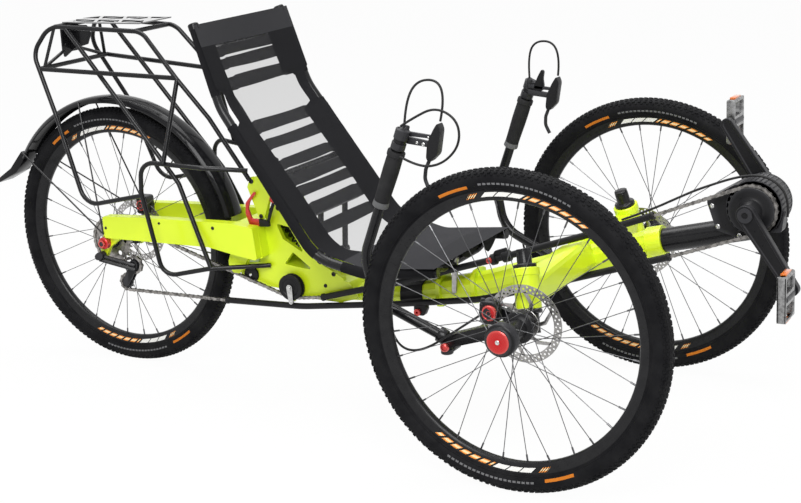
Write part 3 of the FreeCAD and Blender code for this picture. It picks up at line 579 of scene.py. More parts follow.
# %% Cable curves
CABLE = 5.0           # mm across
BRAKE_LOOP = ((-262, -306, 704), (-261, -298, 752), (-240, -286, 794), (-192, -284, 796), (-178, -290, 756),
              (-186, -296, 715))
BRAKE_LOW = ((-306, -333, 310), (-301, -333, 272), (-273, -333, 240), (-226, -333, 246), (-160, -333, 290),
             (-91, -333, 338))
SHIFT_LOOP = ((-262, -332, 648), (-225, -324, 626), (-176, -314, 632), (-138, -308, 672), (-142, -306, 722),
              (-190, -306, 746), (-240, -310, 722), (-264, -318, 706))
GEARBOX_LOOP = ((98, -52, 477.4), (156, -45, 500), (217, -36, 530), (257, -30, 549), (346, -20, 581),
                (400, -20, 578), (436, -20, 540), (432, -20, 500))


def cable(name, route, body, node_name, length):
    """A free cable along a route of places in millimetres."""
    curve = bpy.data.curves.new(name, "CURVE")
    curve.dimensions = "3D"
    line = curve.splines.new("NURBS")
    line.points.add(len(route) - 1)
    for point, place in zip(line.points, route):
        point.co = (*at(*place), 1.0)
    line.order_u = 3
    line.use_endpoint_u = True
    line.resolution_u = 12
    curve.bevel_depth = CABLE * MM / 2
    curve.bevel_resolution = 3
    curve.use_fill_caps = True
    curve.materials.append(cable_rubber)
    piece = bpy.data.objects.new(name, curve)
    bpy.context.scene.collection.objects.link(piece)
    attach(piece, body)
    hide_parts(node_name)
    print(f"{name}: {length * 1000:.0f} mm")
    return piece


def other_side(route):
    return [(x, -y, z) for x, y, z in route]


cable("right_brake_hose", BRAKE_LOOP, "right_steering", "right_brake_cables", 0.236)
cable("left_brake_hose", other_side(BRAKE_LOOP), "left_steering", "left_brake_cables", 0.236)
cable("right_brake_hose_low", BRAKE_LOW, "right_steering", "right_brake_cables", 0.272)
cable("left_brake_hose_low", other_side(BRAKE_LOW), "left_steering", "left_brake_cables", 0.272)
cable("shift_cable_loop", SHIFT_LOOP, "right_steering", "shift_cables", 0.358)
cable("gearbox_cable", GEARBOX_LOOP, "frame", "gearbox_cables", 0.42)

# %% [markdown]
# ## Wheels
#
# The three wheels are alike, so one of each part is made around a bare axle and then copied to its
# place.  A wheel is a lathe job: the tyre, rim and hub are profiles spun round the axle.
#
# A pattern that follows a wheel, such as the stripes on its rim, needs its own map.  `wheel_map` gives
# every face two numbers: how far round it is, in turns from straight ahead over the top, and how far
# from the axle, in metres.

# %% Wheel map
def wheel_map(piece, centre, ahead=0.0):
    """UV: u is the share of a turn round the axle, v the distance from it in metres."""
    layer = (piece.data.uv_layers[0] if piece.data.uv_layers else piece.data.uv_layers.new(name="wheel"))
    points = piece.data.vertices
    for face in piece.data.polygons:
        middle = face.center - centre
        base = math.atan2(middle.z, middle.x)
        for corner in face.loop_indices:
            reach = points[piece.data.loops[corner].vertex_index].co - centre
            turn = math.atan2(reach.z, reach.x)
            turn += 2 * math.pi * round((base - turn) / (2 * math.pi))
            layer.data[corner].uv = (turn / (2 * math.pi) + ahead, math.hypot(reach.x, reach.z))
    return piece


WHEEL = at(0.0, 0.0, AXLE_Z)          # the wheels are first made here, in the middle of the trike


def to_wheel(hub, side=1):
    """The move from the bare axle to a wheel; side -1 turns its left to its right."""
    shift = Matrix.Translation((hub[0] * MM, hub[1] * MM, 0.0))
    return shift if side == 1 else shift @ SWAP_SIDES


WHEEL_PLACES = (("front_right", RIGHT_HUB, 1, "front_right_wheel"),
                ("front_left", LEFT_HUB, -1, "front_left_wheel"),
                ("rear", REAR_HUB, 1, "rear_wheel"))
AHEAD = {"front_right": 0.0, "front_left": -0.012, "rear": -0.036}      # turns, for each wheel's pattern


def to_all_wheels(part, name, finish, slot, smooth=38.0):
    """Copy a finished part to the three wheels and take the first one away."""
    for wheel, hub, side, body in WHEEL_PLACES:
        piece = copy_of(part, f"{wheel}_{name}_detailed", to_wheel(hub, side))
        wheel_map(piece, at(hub[0], hub[1], AXLE_Z), AHEAD[wheel])
        settle(piece, body, finish, slot, f"{wheel}_{name}", smooth=smooth)
    bpy.data.objects.remove(part)


def on_wheel(finish):
    """What the wheel map says at a point: its place in a half turn, and how far from the axle it is."""
    split = node(finish, "ShaderNodeSeparateXYZ")
    link(finish, node(finish, "ShaderNodeTexCoord").outputs["UV"], split.inputs["Vector"])
    half_turn = maths(finish, "FRACT", maths(finish, "MULTIPLY_ADD", split.outputs["X"], 2.0, 4.0))
    return half_turn, split.outputs["Y"]

# %% [markdown]
# ### Tyres
#
# A 48 mm wide tyre on a 26 inch rim: a round casing with four rows of small blocks on each side, low
# and close in the middle and taller on the shoulders.  The casing is spun from a profile.  One block of
# each row is shaped from a cube, with its top smaller than its foot, and copied round the axle.

# %% Tyre
TYRE = ((281.5, -11.0), (284.0, -13.4), (286.5, -14.6), (288.0, -17.2), (289.2, -18.4), (290.6, -18.2),
        (294.0, -20.9), (298.5, -23.0), (304.0, -23.9), (309.5, -23.1), (314.5, -20.6), (318.8, -17.0),
        (322.0, -12.6), (324.2, -7.2), (325.2, -2.4))
casing = lathe("casing", TYRE + tuple((r, -y) for r, y in reversed(TYRE)), WHEEL, steps=96, closed=True)


def tread_row(radius, across, size, lean, count, start=0.0):
    """Blocks round the tyre: (length, width, height) in mm, leaning outwards by some degrees."""
    length, width, height = (v * MM for v in size)
    bpy.ops.object.select_all(action="DESELECT")
    bpy.ops.mesh.primitive_cube_add(size=1.0)
    block = bpy.context.object
    block.data.transform(Matrix.Diagonal((length, width, height, 1.0)))
    edit_points(block, lambda co: co.z > 0)
    bpy.ops.transform.resize(value=(0.78, 0.74, 1.0))
    bpy.ops.mesh.select_all(action="DESELECT")
    done()
    edit_points(block, lambda co: co.z < 0)
    bpy.ops.mesh.delete(type="ONLY_FACE")
    done()
    turn = Matrix.Rotation(-math.radians(lean), 4, "X")
    block.data.transform(Matrix.Translation((0.0, across * MM, radius * MM)) @ turn)
    block.data.transform(Matrix.Translation(WHEEL) @ Matrix.Rotation(math.radians(start), 4, "Y"))
    return ring_of(block, count, WHEEL)


rows = []
for side in (-1, 1):
    offset = 1.0 if side > 0 else 0.0
    rows.append(tread_row(325.4, side * 3.4, (7.4, 4.6, 2.6), side * 8, 168, offset * 1.07))
    rows.append(tread_row(323.4, side * 10.2, (6.6, 4.0, 2.8), side * 24, 168, offset * 1.07))
    rows.append(tread_row(319.6, side * 16.4, (7.6, 5.0, 3.8), side * 42, 144, offset * 1.25))
    rows.append(tread_row(315.4, side * 20.2, (5.2, 3.6, 3.0), side * 54, 144, offset * 1.25 + 1.25))
tyre = joined("tyre", casing, *rows)
print("tyre:", len(tyre.data.polygons), "faces")

# %% [markdown]
# The rubber is dark grey.  Its side wall has fine moulded rings, and the middle of the tread is a little
# greyer from the road.  An orange bar and a row of grey ticks decorate each side twice.

# %% Tyre rubber
tyre_rubber = new_finish("tyre_rubber", (0.010, 0.010, 0.011), 0.62, Specular_IOR_Level=0.06)
where = coordinates(tyre_rubber)
half_turn, reach = on_wheel(tyre_rubber)
worn = spread(tyre_rubber, reach, 0.0, 1.0, 0.3205, 0.3268)
dusty = mixed(tyre_rubber, spread(tyre_rubber, noise(tyre_rubber, where, 28.0, 5.0), 0.0, 1.0),
              (0.006, 0.006, 0.007), (0.012, 0.012, 0.013), None)
rubber = mixed(tyre_rubber, worn, dusty, (0.022, 0.022, 0.023), None)
bar = maths(tyre_rubber, "MULTIPLY", between(tyre_rubber, half_turn, 0.578, 0.648),
            between(tyre_rubber, reach, 0.2935, 0.2995))
ticks = maths(tyre_rubber, "MULTIPLY", repeating(tyre_rubber, half_turn, 96.0, 0.3),
              between(tyre_rubber, half_turn, 0.345, 0.555))
ticks = maths(tyre_rubber, "MULTIPLY", ticks, between(tyre_rubber, reach, 0.2975, 0.3015))
marked = mixed(tyre_rubber, bar, rubber, (0.56, 0.17, 0.02), None)
mixed(tyre_rubber, ticks, marked, (0.15, 0.15, 0.155))
rings = maths(tyre_rubber, "SINE", maths(tyre_rubber, "MULTIPLY", reach, 4200.0))
raised(tyre_rubber, maths(tyre_rubber, "MULTIPLY_ADD", rings, 0.35, noise(tyre_rubber, where, 900.0)), 0.00012)
rough(tyre_rubber, spread(tyre_rubber, noise(tyre_rubber, where, 80.0), 0.5, 0.74))
to_all_wheels(tyre, "tyre", tyre_rubber, "tyre_rubber", 30.0)

# %% [markdown]
# ### Rims
#
# A double-walled rim: two hooks that hold the tyre, flat side walls, and a rounded inner bed where the
# spokes end.  The side walls carry plain blocks and slanted bars in orange and white, a decoration with
# no words.  They are worked out from the wheel map: how far round, and how far from the axle.

# %% Rim
RIM = ((286.0, -12.9), (286.2, -11.6), (280.0, -10.8), (277.5, -6.0), (277.5, 0.0))
RIM_BED = ((262.9, 0.0), (263.2, -3.4), (265.0, -7.4), (269.0, -10.0), (272.0, -10.9), (281.5, -13.1),
           (284.6, -13.7))
half = RIM_BED + RIM
rim = lathe("rim", half + tuple((r, -y) for r, y in reversed(half) if y), WHEEL, steps=96, closed=True)
rim_black = new_finish("rim_black", (0.013, 0.013, 0.014), 0.3, 0.0, Specular_IOR_Level=0.2)
half_turn, reach = on_wheel(rim_black)
slant = maths(rim_black, "MULTIPLY_ADD", reach, 1.4, half_turn)
wall = between(rim_black, reach, 0.2725, 0.2815)


def decoration(count, gap, start, end):
    """Blocks on the side wall between two places, a number of them to half a turn."""
    blocks = maths(rim_black, "MULTIPLY", repeating(rim_black, slant, count, gap),
                   between(rim_black, slant, start, end))
    return maths(rim_black, "MULTIPLY", blocks, wall)


white = decoration(30.9, 0.1, 0.844, 0.941)
orange = maths(rim_black, "ADD", decoration(40.0, 0.3, 0.688, 0.838), decoration(150.0, 0.45, 0.957, 0.977))
base = mixed(rim_black, spread(rim_black, noise(rim_black, coordinates(rim_black), 60.0), 0.0, 1.0),
             (0.008, 0.008, 0.009), (0.013, 0.013, 0.014), None)
striped = mixed(rim_black, white, base, (0.80, 0.79, 0.76), None)
cream = mixed(rim_black, between(rim_black, reach, 0.2744, 0.279), (0.80, 0.27, 0.04), (0.93, 0.66, 0.36), None)
mixed(rim_black, orange, striped, cream)
rough(rim_black, spread(rim_black, noise(rim_black, coordinates(rim_black), 150.0), 0.24, 0.38))
to_all_wheels(rim, "rim", rim_black, "black_anodised")

# %% [markdown]
# ### Spokes
#
# There are 32 spokes, laced so that each crosses three others: from a hole in a hub flange, forwards or
# backwards by 62 degrees, up to a nipple in the rim.  Only four spokes differ, for two flanges and two
# directions.  Those four are drawn, each with its nipple, and copied eight times round the axle.

# %% Spokes
SPOKES, SWEEP, FLANGE_HOLES, RIM_BED_RADIUS = 32, 62.0, 26.0, 263.0
FLANGES = {"front": 34.0, "rear": 31.0}


def wheel_place(radius, degrees, across):
    angle = math.radians(degrees)
    return radius * math.cos(angle), across, AXLE_Z + radius * math.sin(angle)


def laced(name, flange):
    parts = []
    for i in range(4):
        side = 1 if i % 2 == 0 else -1
        lead = 1 if i // 2 % 2 else -1
        rim_angle = 360.0 * (i + 0.5) / SPOKES
        inner = wheel_place(FLANGE_HOLES, rim_angle + lead * SWEEP, side * flange + lead * 1.2)
        outer = wheel_place(RIM_BED_RADIUS + 1.0, rim_angle, side * 3.0 + lead)
        foot = tuple(o + (n - o) * 0.055 for o, n in zip(outer, inner))
        parts.append(tube("spoke", (inner, outer), 0.85, sides=8))
        parts.append(tube("nipple", (foot, outer), 1.9, sides=8))
    return ring_of(joined(name, *parts), 8, WHEEL)


for wheel, hub, side, body in WHEEL_PLACES:
    wires = laced("wires", FLANGES["rear" if wheel == "rear" else "front"])
    piece = copy_of(wires, f"{wheel}_spokes_detailed", to_wheel(hub, side))
    settle(piece, body, spoke_steel, "bare_steel", f"{wheel}_spokes")
    bpy.data.objects.remove(wires)

# %% [markdown]
# ### Hubs
#
# The front hubs are wide barrels with a disc carrier on the inner side and a red cap over a bolt on the
# outer side.  Each is one profile, spun.  The caps are pieces of their own, because they are red.

# %% Front hubs
FRONT_HUB = ((9.2, 65.0), (21.0, 65.0), (22.2, 63.8), (22.2, 60.4), (19.0, 58.0), (18.0, 44.0), (23.0, 38.0),
             (30.0, 36.6), (32.0, 35.8), (32.4, 34.0), (31.4, 32.2), (26.0, 31.2), (21.5, 27.0), (19.5, 14.0),
             (19.0, 0.0), (19.5, -14.0), (21.5, -26.0), (27.0, -30.6), (31.8, -31.6), (33.0, -33.0),
             (33.0, -51.5), (31.6, -53.4), (29.0, -54.6), (27.5, -58.4), (24.6, -60.4), (9.2, -60.4))
RED_CAP = ((0.0, -60.2), (22.6, -60.2), (23.2, -61.0), (23.2, -61.8), (22.0, -62.9), (18.5, -63.3), (9.0, -63.3),
           (8.0, -62.7), (7.4, -62.7), (0.0, -62.7))
CAP_BOLT = ((0.0, -62.4), (4.6, -62.4), (4.6, -64.2), (4.0, -64.8), (2.4, -64.8), (1.9, -63.4), (0.0, -63.4))
for wheel, hub, side, body in WHEEL_PLACES[:2]:
    move = to_wheel(hub, side)
    for name, profile, finish, slot in (("hub", FRONT_HUB, black_anodised, "black_anodised"),
                                        ("cap", RED_CAP, red_anodised, "red_anodised"),
                                        ("cap_bolt", CAP_BOLT, bright_steel, "bare_steel")):
        part = lathe(name, profile, WHEEL, steps=64, closed=name == "hub")
        piece = copy_of(part, f"{wheel}_{name}_detailed", move)
        bpy.data.objects.remove(part)
        settle(piece, body, finish, slot, *([f"{wheel}_hub"] if name == "hub" else []))

# %% [markdown]
# The rear hub is narrow between its flanges, with the disc on the left and the sprocket on the right.

# %% Rear hub
REAR_BARREL = ((6.8, 64.0), (13.4, 64.0), (14.2, 63.2), (14.2, 54.6), (21.0, 54.0), (22.2, 53.2), (22.2, 50.6),
               (17.6, 49.6), (16.8, 38.0), (21.0, 34.8), (29.0, 33.2), (31.0, 32.4), (31.2, 30.6), (29.6, 29.6),
               (22.0, 27.6), (17.0, 22.0), (15.6, 0.0), (17.0, -22.0), (22.0, -27.6), (29.6, -29.6),
               (31.2, -30.6), (31.0, -32.4), (29.0, -33.2), (20.2, -34.6), (19.6, -61.0), (18.8, -62.0),
               (6.8, -62.0))
part = lathe("rear_hub_detailed", REAR_BARREL, at(*REAR_HUB, AXLE_Z), steps=64, closed=True)
settle(part, "rear_wheel", black_anodised, "black_anodised", "rear_hub")

# %% [markdown]
# ### Brake discs
#
# A disc is a thin ring on six slanted arms, drilled with three rows of holes.  The ring is spun, one arm
# is cut from plate and copied round, and the holes are cut at once by a boolean with a set of pins.

# %% Brake disc
ring = lathe("disc", ((80.0, -0.9), (80.0, 0.9), (63.5, 0.9), (63.5, -0.9)), WHEEL, steps=90, closed=True)
holes = []
for radius, size, start in ((76.0, 2.3, 0.0), (71.6, 2.6, 6.0), (67.4, 2.1, 0.0)):
    x, _, z = wheel_place(radius, start, 0.0)
    pin = tube("pin", ((x, -3.0, z), (x, 3.0, z)), size, sides=12)
    holes.append(ring_of(pin, 30, WHEEL))
cut_away(ring, joined("pins", *holes))
arm = plate("arm", [(r * math.cos(math.radians(a)), AXLE_Z + r * math.sin(math.radians(a)))
                    for a, r in ((-8, 28), (8, 28), (14, 44), (31, 66), (24, 66), (4, 47))], -0.9, 0.9, edge=0.25)
ring_of(arm, 6, WHEEL)
carrier = lathe("carrier", ((30.5, -1.2), (31.0, -0.8), (31.0, 0.8), (30.5, 1.2), (22.3, 1.2), (22.3, -1.2)),
                WHEEL, steps=60, closed=True)
bolt = lathe("bolt", ((0.0, 1.2), (3.6, 1.2), (3.6, 2.6), (3.0, 3.4), (1.5, 3.4), (1.2, 2.2), (0.0, 2.2)),
             at(26.4, 0.0, AXLE_Z), steps=16)
ring_of(bolt, 6, WHEEL)
disc = joined("disc", ring, arm, carrier, bolt)
for wheel, hub, side, body in WHEEL_PLACES:
    away = 52.0 if wheel == "rear" else 62.0
    piece = copy_of(disc, f"{wheel}_rotor_detailed",
                    to_wheel(hub, side) @ Matrix.Translation((0.0, away * MM, 0.0)))
    settle(piece, body, disc_steel, "bare_steel", f"{wheel}_rotor", smooth=30.0)
bpy.data.objects.remove(disc)

# %% [markdown]
# ## The frame
#
# The main frame, the cross member and the swing arm are welded from box tubes and plates.  Their solids
# have the right form already, so `refined` takes a copy, merges its triangles into clean flats and
# rounds its edges the way drawn tube and weld beads do.  Round parts get turned sleeves of their own,
# since the solids' rounds are flat-sided.

# %% Welded frame
for name, width, segments, angle in (("main_frame", 3.6, 4, 9.0), ("cross_member", 3.6, 4, 9.0),
                                     ("swing_arm", 2.4, 3, 14.0), ("seat_mount", 1.4, 2, 30.0)):
    part = refined(name, f"{name}_detailed", width, segments, angle)
    settle(part, "frame", lime_paint, "lime_paint", name, weighted=True)

# %% [markdown]
# The two head tubes hold the steering pins.  Each is a short turned tube with a collar at its top, and
# it leans as its pin does: in by 0.275 and back by 0.204 for every millimetre of height.

# %% Head tubes
LEAN, RAKE = 0.2754, 0.2035
HEAD_LOW, HEAD_HIGH = 347.0, 423.0


def pin_place(z, side):
    return -(z - AXLE_Z) * RAKE, side * (HALF_TRACK - z * LEAN), z


HEAD_TUBE = ((24.2, 0.0), (25.9, 1.2), (25.9, 66.0), (28.2, 67.4), (28.2, 80.4), (26.8, 82.0),
             (14.5, 82.0), (14.5, 0.0))
for side, hand in ((-1, "right"), (1, "left")):
    foot = at(*pin_place(HEAD_LOW, side))
    axis = (at(*pin_place(HEAD_HIGH, side)) - foot).normalized()
    part = lathe(f"{hand}_head_tube", HEAD_TUBE, foot, axis, 64, closed=True)
    settle(part, "frame", lime_paint, "lime_paint", weighted=True)

# %% [markdown]
# ### Boom and fold joint
#
# The boom that carries the gearbox is a plain gloss tube with a lime collar behind it.  The main tube
# comes apart behind the cross member, at two flanges with a silver latch, and a black band
# goes round it a little further back.

# %% Boom
BOOM = ((140.0, 0.0, 419.5), (352.0, 0.0, 467.6))
boom_foot = at(*BOOM[0])
boom_axis = (at(*BOOM[1]) - boom_foot).normalized()
part = lathe("boom_detailed", ((0.0, 20.0), (25.1, 20.0), (25.1, 214.0), (0.0, 214.0)), boom_foot, boom_axis, 72)
settle(part, "frame", black_paint, "black_paint", "boom", weighted=True)
COLLAR = ((25.2, -2.0), (31.2, -2.0), (32.3, -0.8), (32.3, 32.0), (31.4, 33.2), (25.2, 33.2))
part = lathe("boom_collar", COLLAR, boom_foot, boom_axis, 72, closed=True)
settle(part, "frame", lime_paint, "lime_paint", weighted=True)

# %% Fold joint
part = refined("fold_joint", "fold_joint_detailed", 2.4, 3, 9.0)
part.data.materials.clear()
for finish in (lime_paint, black_plastic):
    part.data.materials.append(finish)
band_front = at(-385.0, 0.0, 0.0).x
for face in part.data.polygons:
    face.material_index = 1 if face.center.x < band_front else 0
settle(part, "frame", None, "lime_paint", "fold_joint", weighted=True)

# %% [markdown]
# ### Bolts
#
# A socket-head bolt is a turned button with a hexagonal socket in it.  One is spun, its top is inset
# and pushed down for the socket, and copies go wherever the trike has a bolt.

# %% Bolts
def bolt_along_y(name, x, y, z, radius, out, height=3.0):
    """A button bolt on a face whose outward direction is out = 1 (left) or -1 (right)."""
    r, h = radius, height
    profile = ((0.0, 0.0), (r, 0.0), (r, h * 0.35), (r * 0.9, h * 0.72), (r * 0.66, h * 0.95), (r * 0.5, h),
               (r * 0.46, h * 0.92), (r * 0.44, h * 0.35), (0.0, h * 0.3))
    return lathe(name, [(a, b * out) for a, b in profile], at(x, y, z), steps=24)


FRAME_BOLTS = ((-757, 440, 6.5, 40.0), (-742, 425, 4.2, 40.0), (-616, 292, 5.5, 40.0), (-640, 262, 4.5, 40.0),
               (-818, 503, 6.0, 54.0), (-797, 421, 5.0, 54.0))
bolts = []
for i, (x, z, radius, y) in enumerate(FRAME_BOLTS):
    bolts += [bolt_along_y("bolt", x, out * y, z, radius, out) for out in (-1, 1)]
part = joined("frame_bolts", *bolts)
settle(part, "frame", black_anodised, "black_anodised")
ARM_BOLTS = ((-912, 392, 4.2), (-1236, 368, 3.4), (-1070, 392, 3.2))
bolts = [bolt_along_y("bolt", x, out * 92.0, z, radius, out, 2.2) for x, z, radius in ARM_BOLTS
         for out in (-1, 1)]
part = joined("swing_arm_bolts", *bolts)
settle(part, "frame", black_anodised, "black_anodised")

# %% [markdown]
# ### Shock absorber
#
# A spring and damper unit lies in the tower's slot between an eye at the top and one at the bottom.
# The spring is a real helix: a circle of wire carried round and along by the Screw modifier.

# %% Shock absorber
SHOCK_TOP, SHOCK_LOW = Vector((-783.0, 0.0, 428.0)), Vector((-690.0, 0.0, 322.0))
shock_axis = (SHOCK_LOW - SHOCK_TOP).normalized()
top_eye = at(*SHOCK_TOP)
DAMPER = ((0.0, 4.0), (9.0, 4.0), (15.5, 12.0), (17.0, 15.0), (17.0, 24.0), (23.5, 25.5), (23.5, 30.0),
          (16.8, 31.0), (16.8, 76.0), (15.6, 78.0), (9.0, 78.5), (9.0, 122.0), (23.5, 124.0), (23.5, 127.0),
          (11.0, 128.5), (9.0, 134.0), (0.0, 134.0))
part = lathe("shock_absorber_detailed", DAMPER, top_eye, shock_axis, 40)
eyes = [lathe("eye", ((5.0, -27.5), (9.0, -27.5), (9.8, -26.0), (9.8, 26.0), (9.0, 27.5), (5.0, 27.5)),
              at(*place), steps=32, closed=True) for place in (SHOCK_TOP, SHOCK_LOW)]
part = joined("shock_absorber_detailed", part, *eyes)
settle(part, "frame", black_anodised, "black_anodised", "shock_absorber")
bpy.ops.object.select_all(action="DESELECT")
bpy.ops.mesh.primitive_circle_add(vertices=10, radius=2.6 * MM, location=(20.5 * MM, 0.0, 0.0),
                                  rotation=(math.radians(90), 0, 0))
coil = bpy.context.object
bpy.ops.object.transform_apply()
screw = coil.modifiers.new("coil", "SCREW")
screw.axis = "Z"
screw.angle = math.radians(360 * 6.5)
screw.screw_offset = 92.0 * MM
screw.steps = screw.render_steps = 150
bpy.ops.object.modifier_apply(modifier=screw.name)
edit_all(coil)
bpy.ops.mesh.select_non_manifold()
bpy.ops.mesh.edge_face_add()
faces_out()
lean = shock_axis.to_track_quat("Z", "Y").to_matrix().to_4x4()
coil.data.transform(Matrix.Translation(top_eye + shock_axis * 31.0 * MM) @ lean)
coil.name = "shock_spring"
settle(coil, "frame", black_paint, "black_paint")

# %% [markdown]
# ## Gearbox and cranks
#
# The gearbox hangs at the end of the boom: a round housing with ribs on its rim, bolted to a plate.
# The chainring sits on its right face, and the cranks turn in its middle.

# %% Gearbox
BRACKET = (370.0, 517.0)
crank_middle = at(BRACKET[0], 0.0, BRACKET[1])
part = refined("gearbox_housing", "gearbox_housing_detailed", 1.6, 2, 20.0)
settle(part, "frame", black_anodised, "black_anodised", "gearbox_housing", weighted=True)
COVER = ((13.2, -40.0), (56.4, -40.0), (56.4, -36.5), (52.0, -35.0), (52.0, 33.0), (56.4, 34.5), (56.4, 38.2),
         (54.0, 40.2), (40.0, 41.4), (38.0, 40.4), (26.0, 40.4), (24.0, 41.6), (13.2, 41.6))
part = lathe("gearbox_covers", COVER, crank_middle, steps=96, closed=True)
settle(part, "frame", black_anodised, "black_anodised")
rib = plate("rib", rectangle(BRACKET[0] + 51.0, BRACKET[0] + 57.2, BRACKET[1] - 1.2, BRACKET[1] + 1.2),
            -33.0, 33.0, edge=0.4)
part = ring_of(rib, 36, crank_middle)
part.name = "gearbox_ribs"
settle(part, "frame", black_anodised, "black_anodised")
bolts = [bolt_along_y("bolt", x, out * 34.0, z, 5.2, out) for x, z in ((296, 474), (340, 459), (284, 516))
         for out in (-1, 1)]
part = joined("gearbox_bolts", *bolts)
settle(part, "frame", bright_steel, "bare_steel")

# %% [markdown]
# Each crank is a forged arm that narrows towards its pedal, with a groove milled along its outer face.
# The arm is a plate between two round ends, softened all round; the groove is a face of it, inset and
# pushed in.

# %% Cranks
CRANK, CRANK_ANGLE = 170.0, -56.5
ROOT_CAP = ((0.0, 101.5), (5.25, 101.5), (6.3, 103.0), (15.0, 103.0), (15.0, 100.5), (14.4, 96.0), (0.0, 96.0))
END_CAP = ((0.0, 100.2), (4.25, 100.2), (4.675, 101.6), (8.5, 101.6), (8.5, 95.0), (0.0, 95.0))
crank_ends = {}
parts = []
for side, turn in ((-1, 0.0), (1, 180.0)):
    angle = math.radians(CRANK_ANGLE + turn)
    end = (BRACKET[0] + CRANK * math.cos(angle), BRACKET[1] + CRANK * math.sin(angle))
    crank_ends[side] = end
    low, high = sorted((side * 84.0, side * 100.0))
    arm = strip("arm", (*BRACKET, 19.0), (*end, 13.0), low, high, edge=0.0)
    for face_y in (low, high):
        edit_points(arm, lambda co: False)
        done()
        for face in arm.data.polygons:
            face.select = len(face.vertices) > 8 and abs(face.center.y - face_y * MM) < 1e-5
        bpy.context.tool_settings.mesh_select_mode = (False, False, True)
        bpy.ops.object.mode_set(mode="EDIT")
        bpy.ops.mesh.inset(thickness=5.0 * MM)
        bpy.ops.mesh.inset(thickness=1.0 * MM, depth=-2.2 * MM)
        done()
        bpy.context.tool_settings.mesh_select_mode = (True, False, False)
    parts.append(broken_edges(arm, 2.4, 3, 50.0))
    for centre, cap in ((BRACKET, ROOT_CAP), (end, END_CAP)):
        parts.append(lathe("cap", [(a, b * side) for a, b in cap], at(centre[0], 0.0, centre[1]), steps=40))
SPINDLE = ((0.0, -95.0), (11.8, -95.0), (11.8, 95.0), (0.0, 95.0))
parts.append(lathe("spindle", SPINDLE, crank_middle, steps=40))
SPIDER = ((11.9, -47.4), (19.4, -47.4), (20.2, -50.0), (20.2, -56.0), (44.0, -56.6), (46.2, -57.4), (46.2, -59.4),
          (45.0, -60.4), (30.0, -61.2), (24.0, -64.0), (18.0, -78.0), (16.0, -84.0), (11.9, -84.0))
parts.append(lathe("spider", SPIDER, crank_middle, steps=64, closed=True))
part = joined("cranks_detailed", *parts)
settle(part, "crank", black_anodised, "black_anodised", "cranks", weighted=True)

# %% [markdown]
# ## Chain and sprockets
#
# A chain link is two figure-eight plates on two pins.  Two links are modelled, an outer and an inner
# one, and copied along the chain's line, 12.7 mm apart.  The line is worked out once, as straight runs
# between wheels and arcs round them, seen from the right.

# %% The chain's line
CHAIN_Y, PITCH = -52.0, 12.7
CHAINRING = (370.0, 517.0, 48.65, 24)
SPROCKET = (-WHEELBASE, AXLE_Z, 57.5, 28)
IDLER = (-727.0, 254.0, 27.0)
GUIDE_PULLEY = (-1188.0, 268.0, 20.0)
TENSION_PULLEY = (-1216.0, 221.0, 20.0)
UPPER_TUBE = ((-642.0, 237.0), (-435.0, 293.0), (-179.0, 373.0), (24.0, 440.0), (166.0, 491.0))
LOWER_TUBE = ((-915.0, 203.0), (-700.0, 209.0), (-443.0, 241.0), (-231.0, 273.0), (200.0, 407.0))


def chain_line(wheels, step=3.0):
    """Points along a chain over wheels (x, z, radius, turn); turn is 1 where it runs anticlockwise."""
    runs = []
    for (ax, az, ar, a_turn), (bx, bz, br, b_turn) in zip(wheels, wheels[1:]):
        heading = (math.atan2(bz - az, bx - ax)
                   - math.asin((b_turn * br - a_turn * ar) / math.hypot(bx - ax, bz - az)))
        nx, nz = math.sin(heading), -math.cos(heading)
        runs.append(((ax + a_turn * ar * nx, az + a_turn * ar * nz),
                     (bx + b_turn * br * nx, bz + b_turn * br * nz)))
    line = [runs[0][0]]
    for (x, z, r, way), (_, enter), (leave, _) in zip(wheels[1:-1], runs, runs[1:]):
        first = math.atan2(enter[1] - z, enter[0] - x)
        last = math.atan2(leave[1] - z, leave[0] - x)
        sweep = (last - first) * way % (2 * math.pi) * way
        count = max(2, int(abs(sweep) * r / step))
        line += [(x + r * math.cos(first + sweep * k / count), z + r * math.sin(first + sweep * k / count))
                 for k in range(count + 1)]
    return line + [runs[-1][1]]


rear_run = chain_line(((*UPPER_TUBE[0], 0.0, 0), (*IDLER, -1), (*SPROCKET[:3], 1), (*GUIDE_PULLEY, -1),
                       (*TENSION_PULLEY, 1), (*LOWER_TUBE[0], 0.0, 0)))
front_run = chain_line(((*LOWER_TUBE[-1], 0.0, 0), (*CHAINRING[:3], 1), (*UPPER_TUBE[-1], 0.0, 0)))

# %% Chain links
def chain_link(name, half_width, waist):
    """Two waisted plates and two pins, round the middle of a link that lies along x."""
    eye, half_pitch = 4.1, PITCH / 2
    outline = []
    for end in (1, -1):
        outline += [(end * (half_pitch + eye * math.cos(math.radians(a))), end * eye * math.sin(math.radians(a)))
                    for a in (-70, -35, 0, 35, 70)]
        outline.append((0.0, end * waist))
    sides = []
    for low, high in ((-half_width, -half_width + 1.0), (half_width - 1.0, half_width)):
        sides.append(plate("side", outline, low, high, edge=0.0))
    pins = [tube("pin", ((x, -half_width - 0.4, 0.0), (x, half_width + 0.4, 0.0)), 1.9, sides=8)
            for x in (-half_pitch, half_pitch)]
    link = joined(name, *sides, *pins)
    link.data.transform(Matrix.Translation(-at(0.0, 0.0, 0.0)))
    return link


outer_link = chain_link("outer_link", 3.7, 2.9)
inner_link = chain_link("inner_link", 2.5, 2.9)


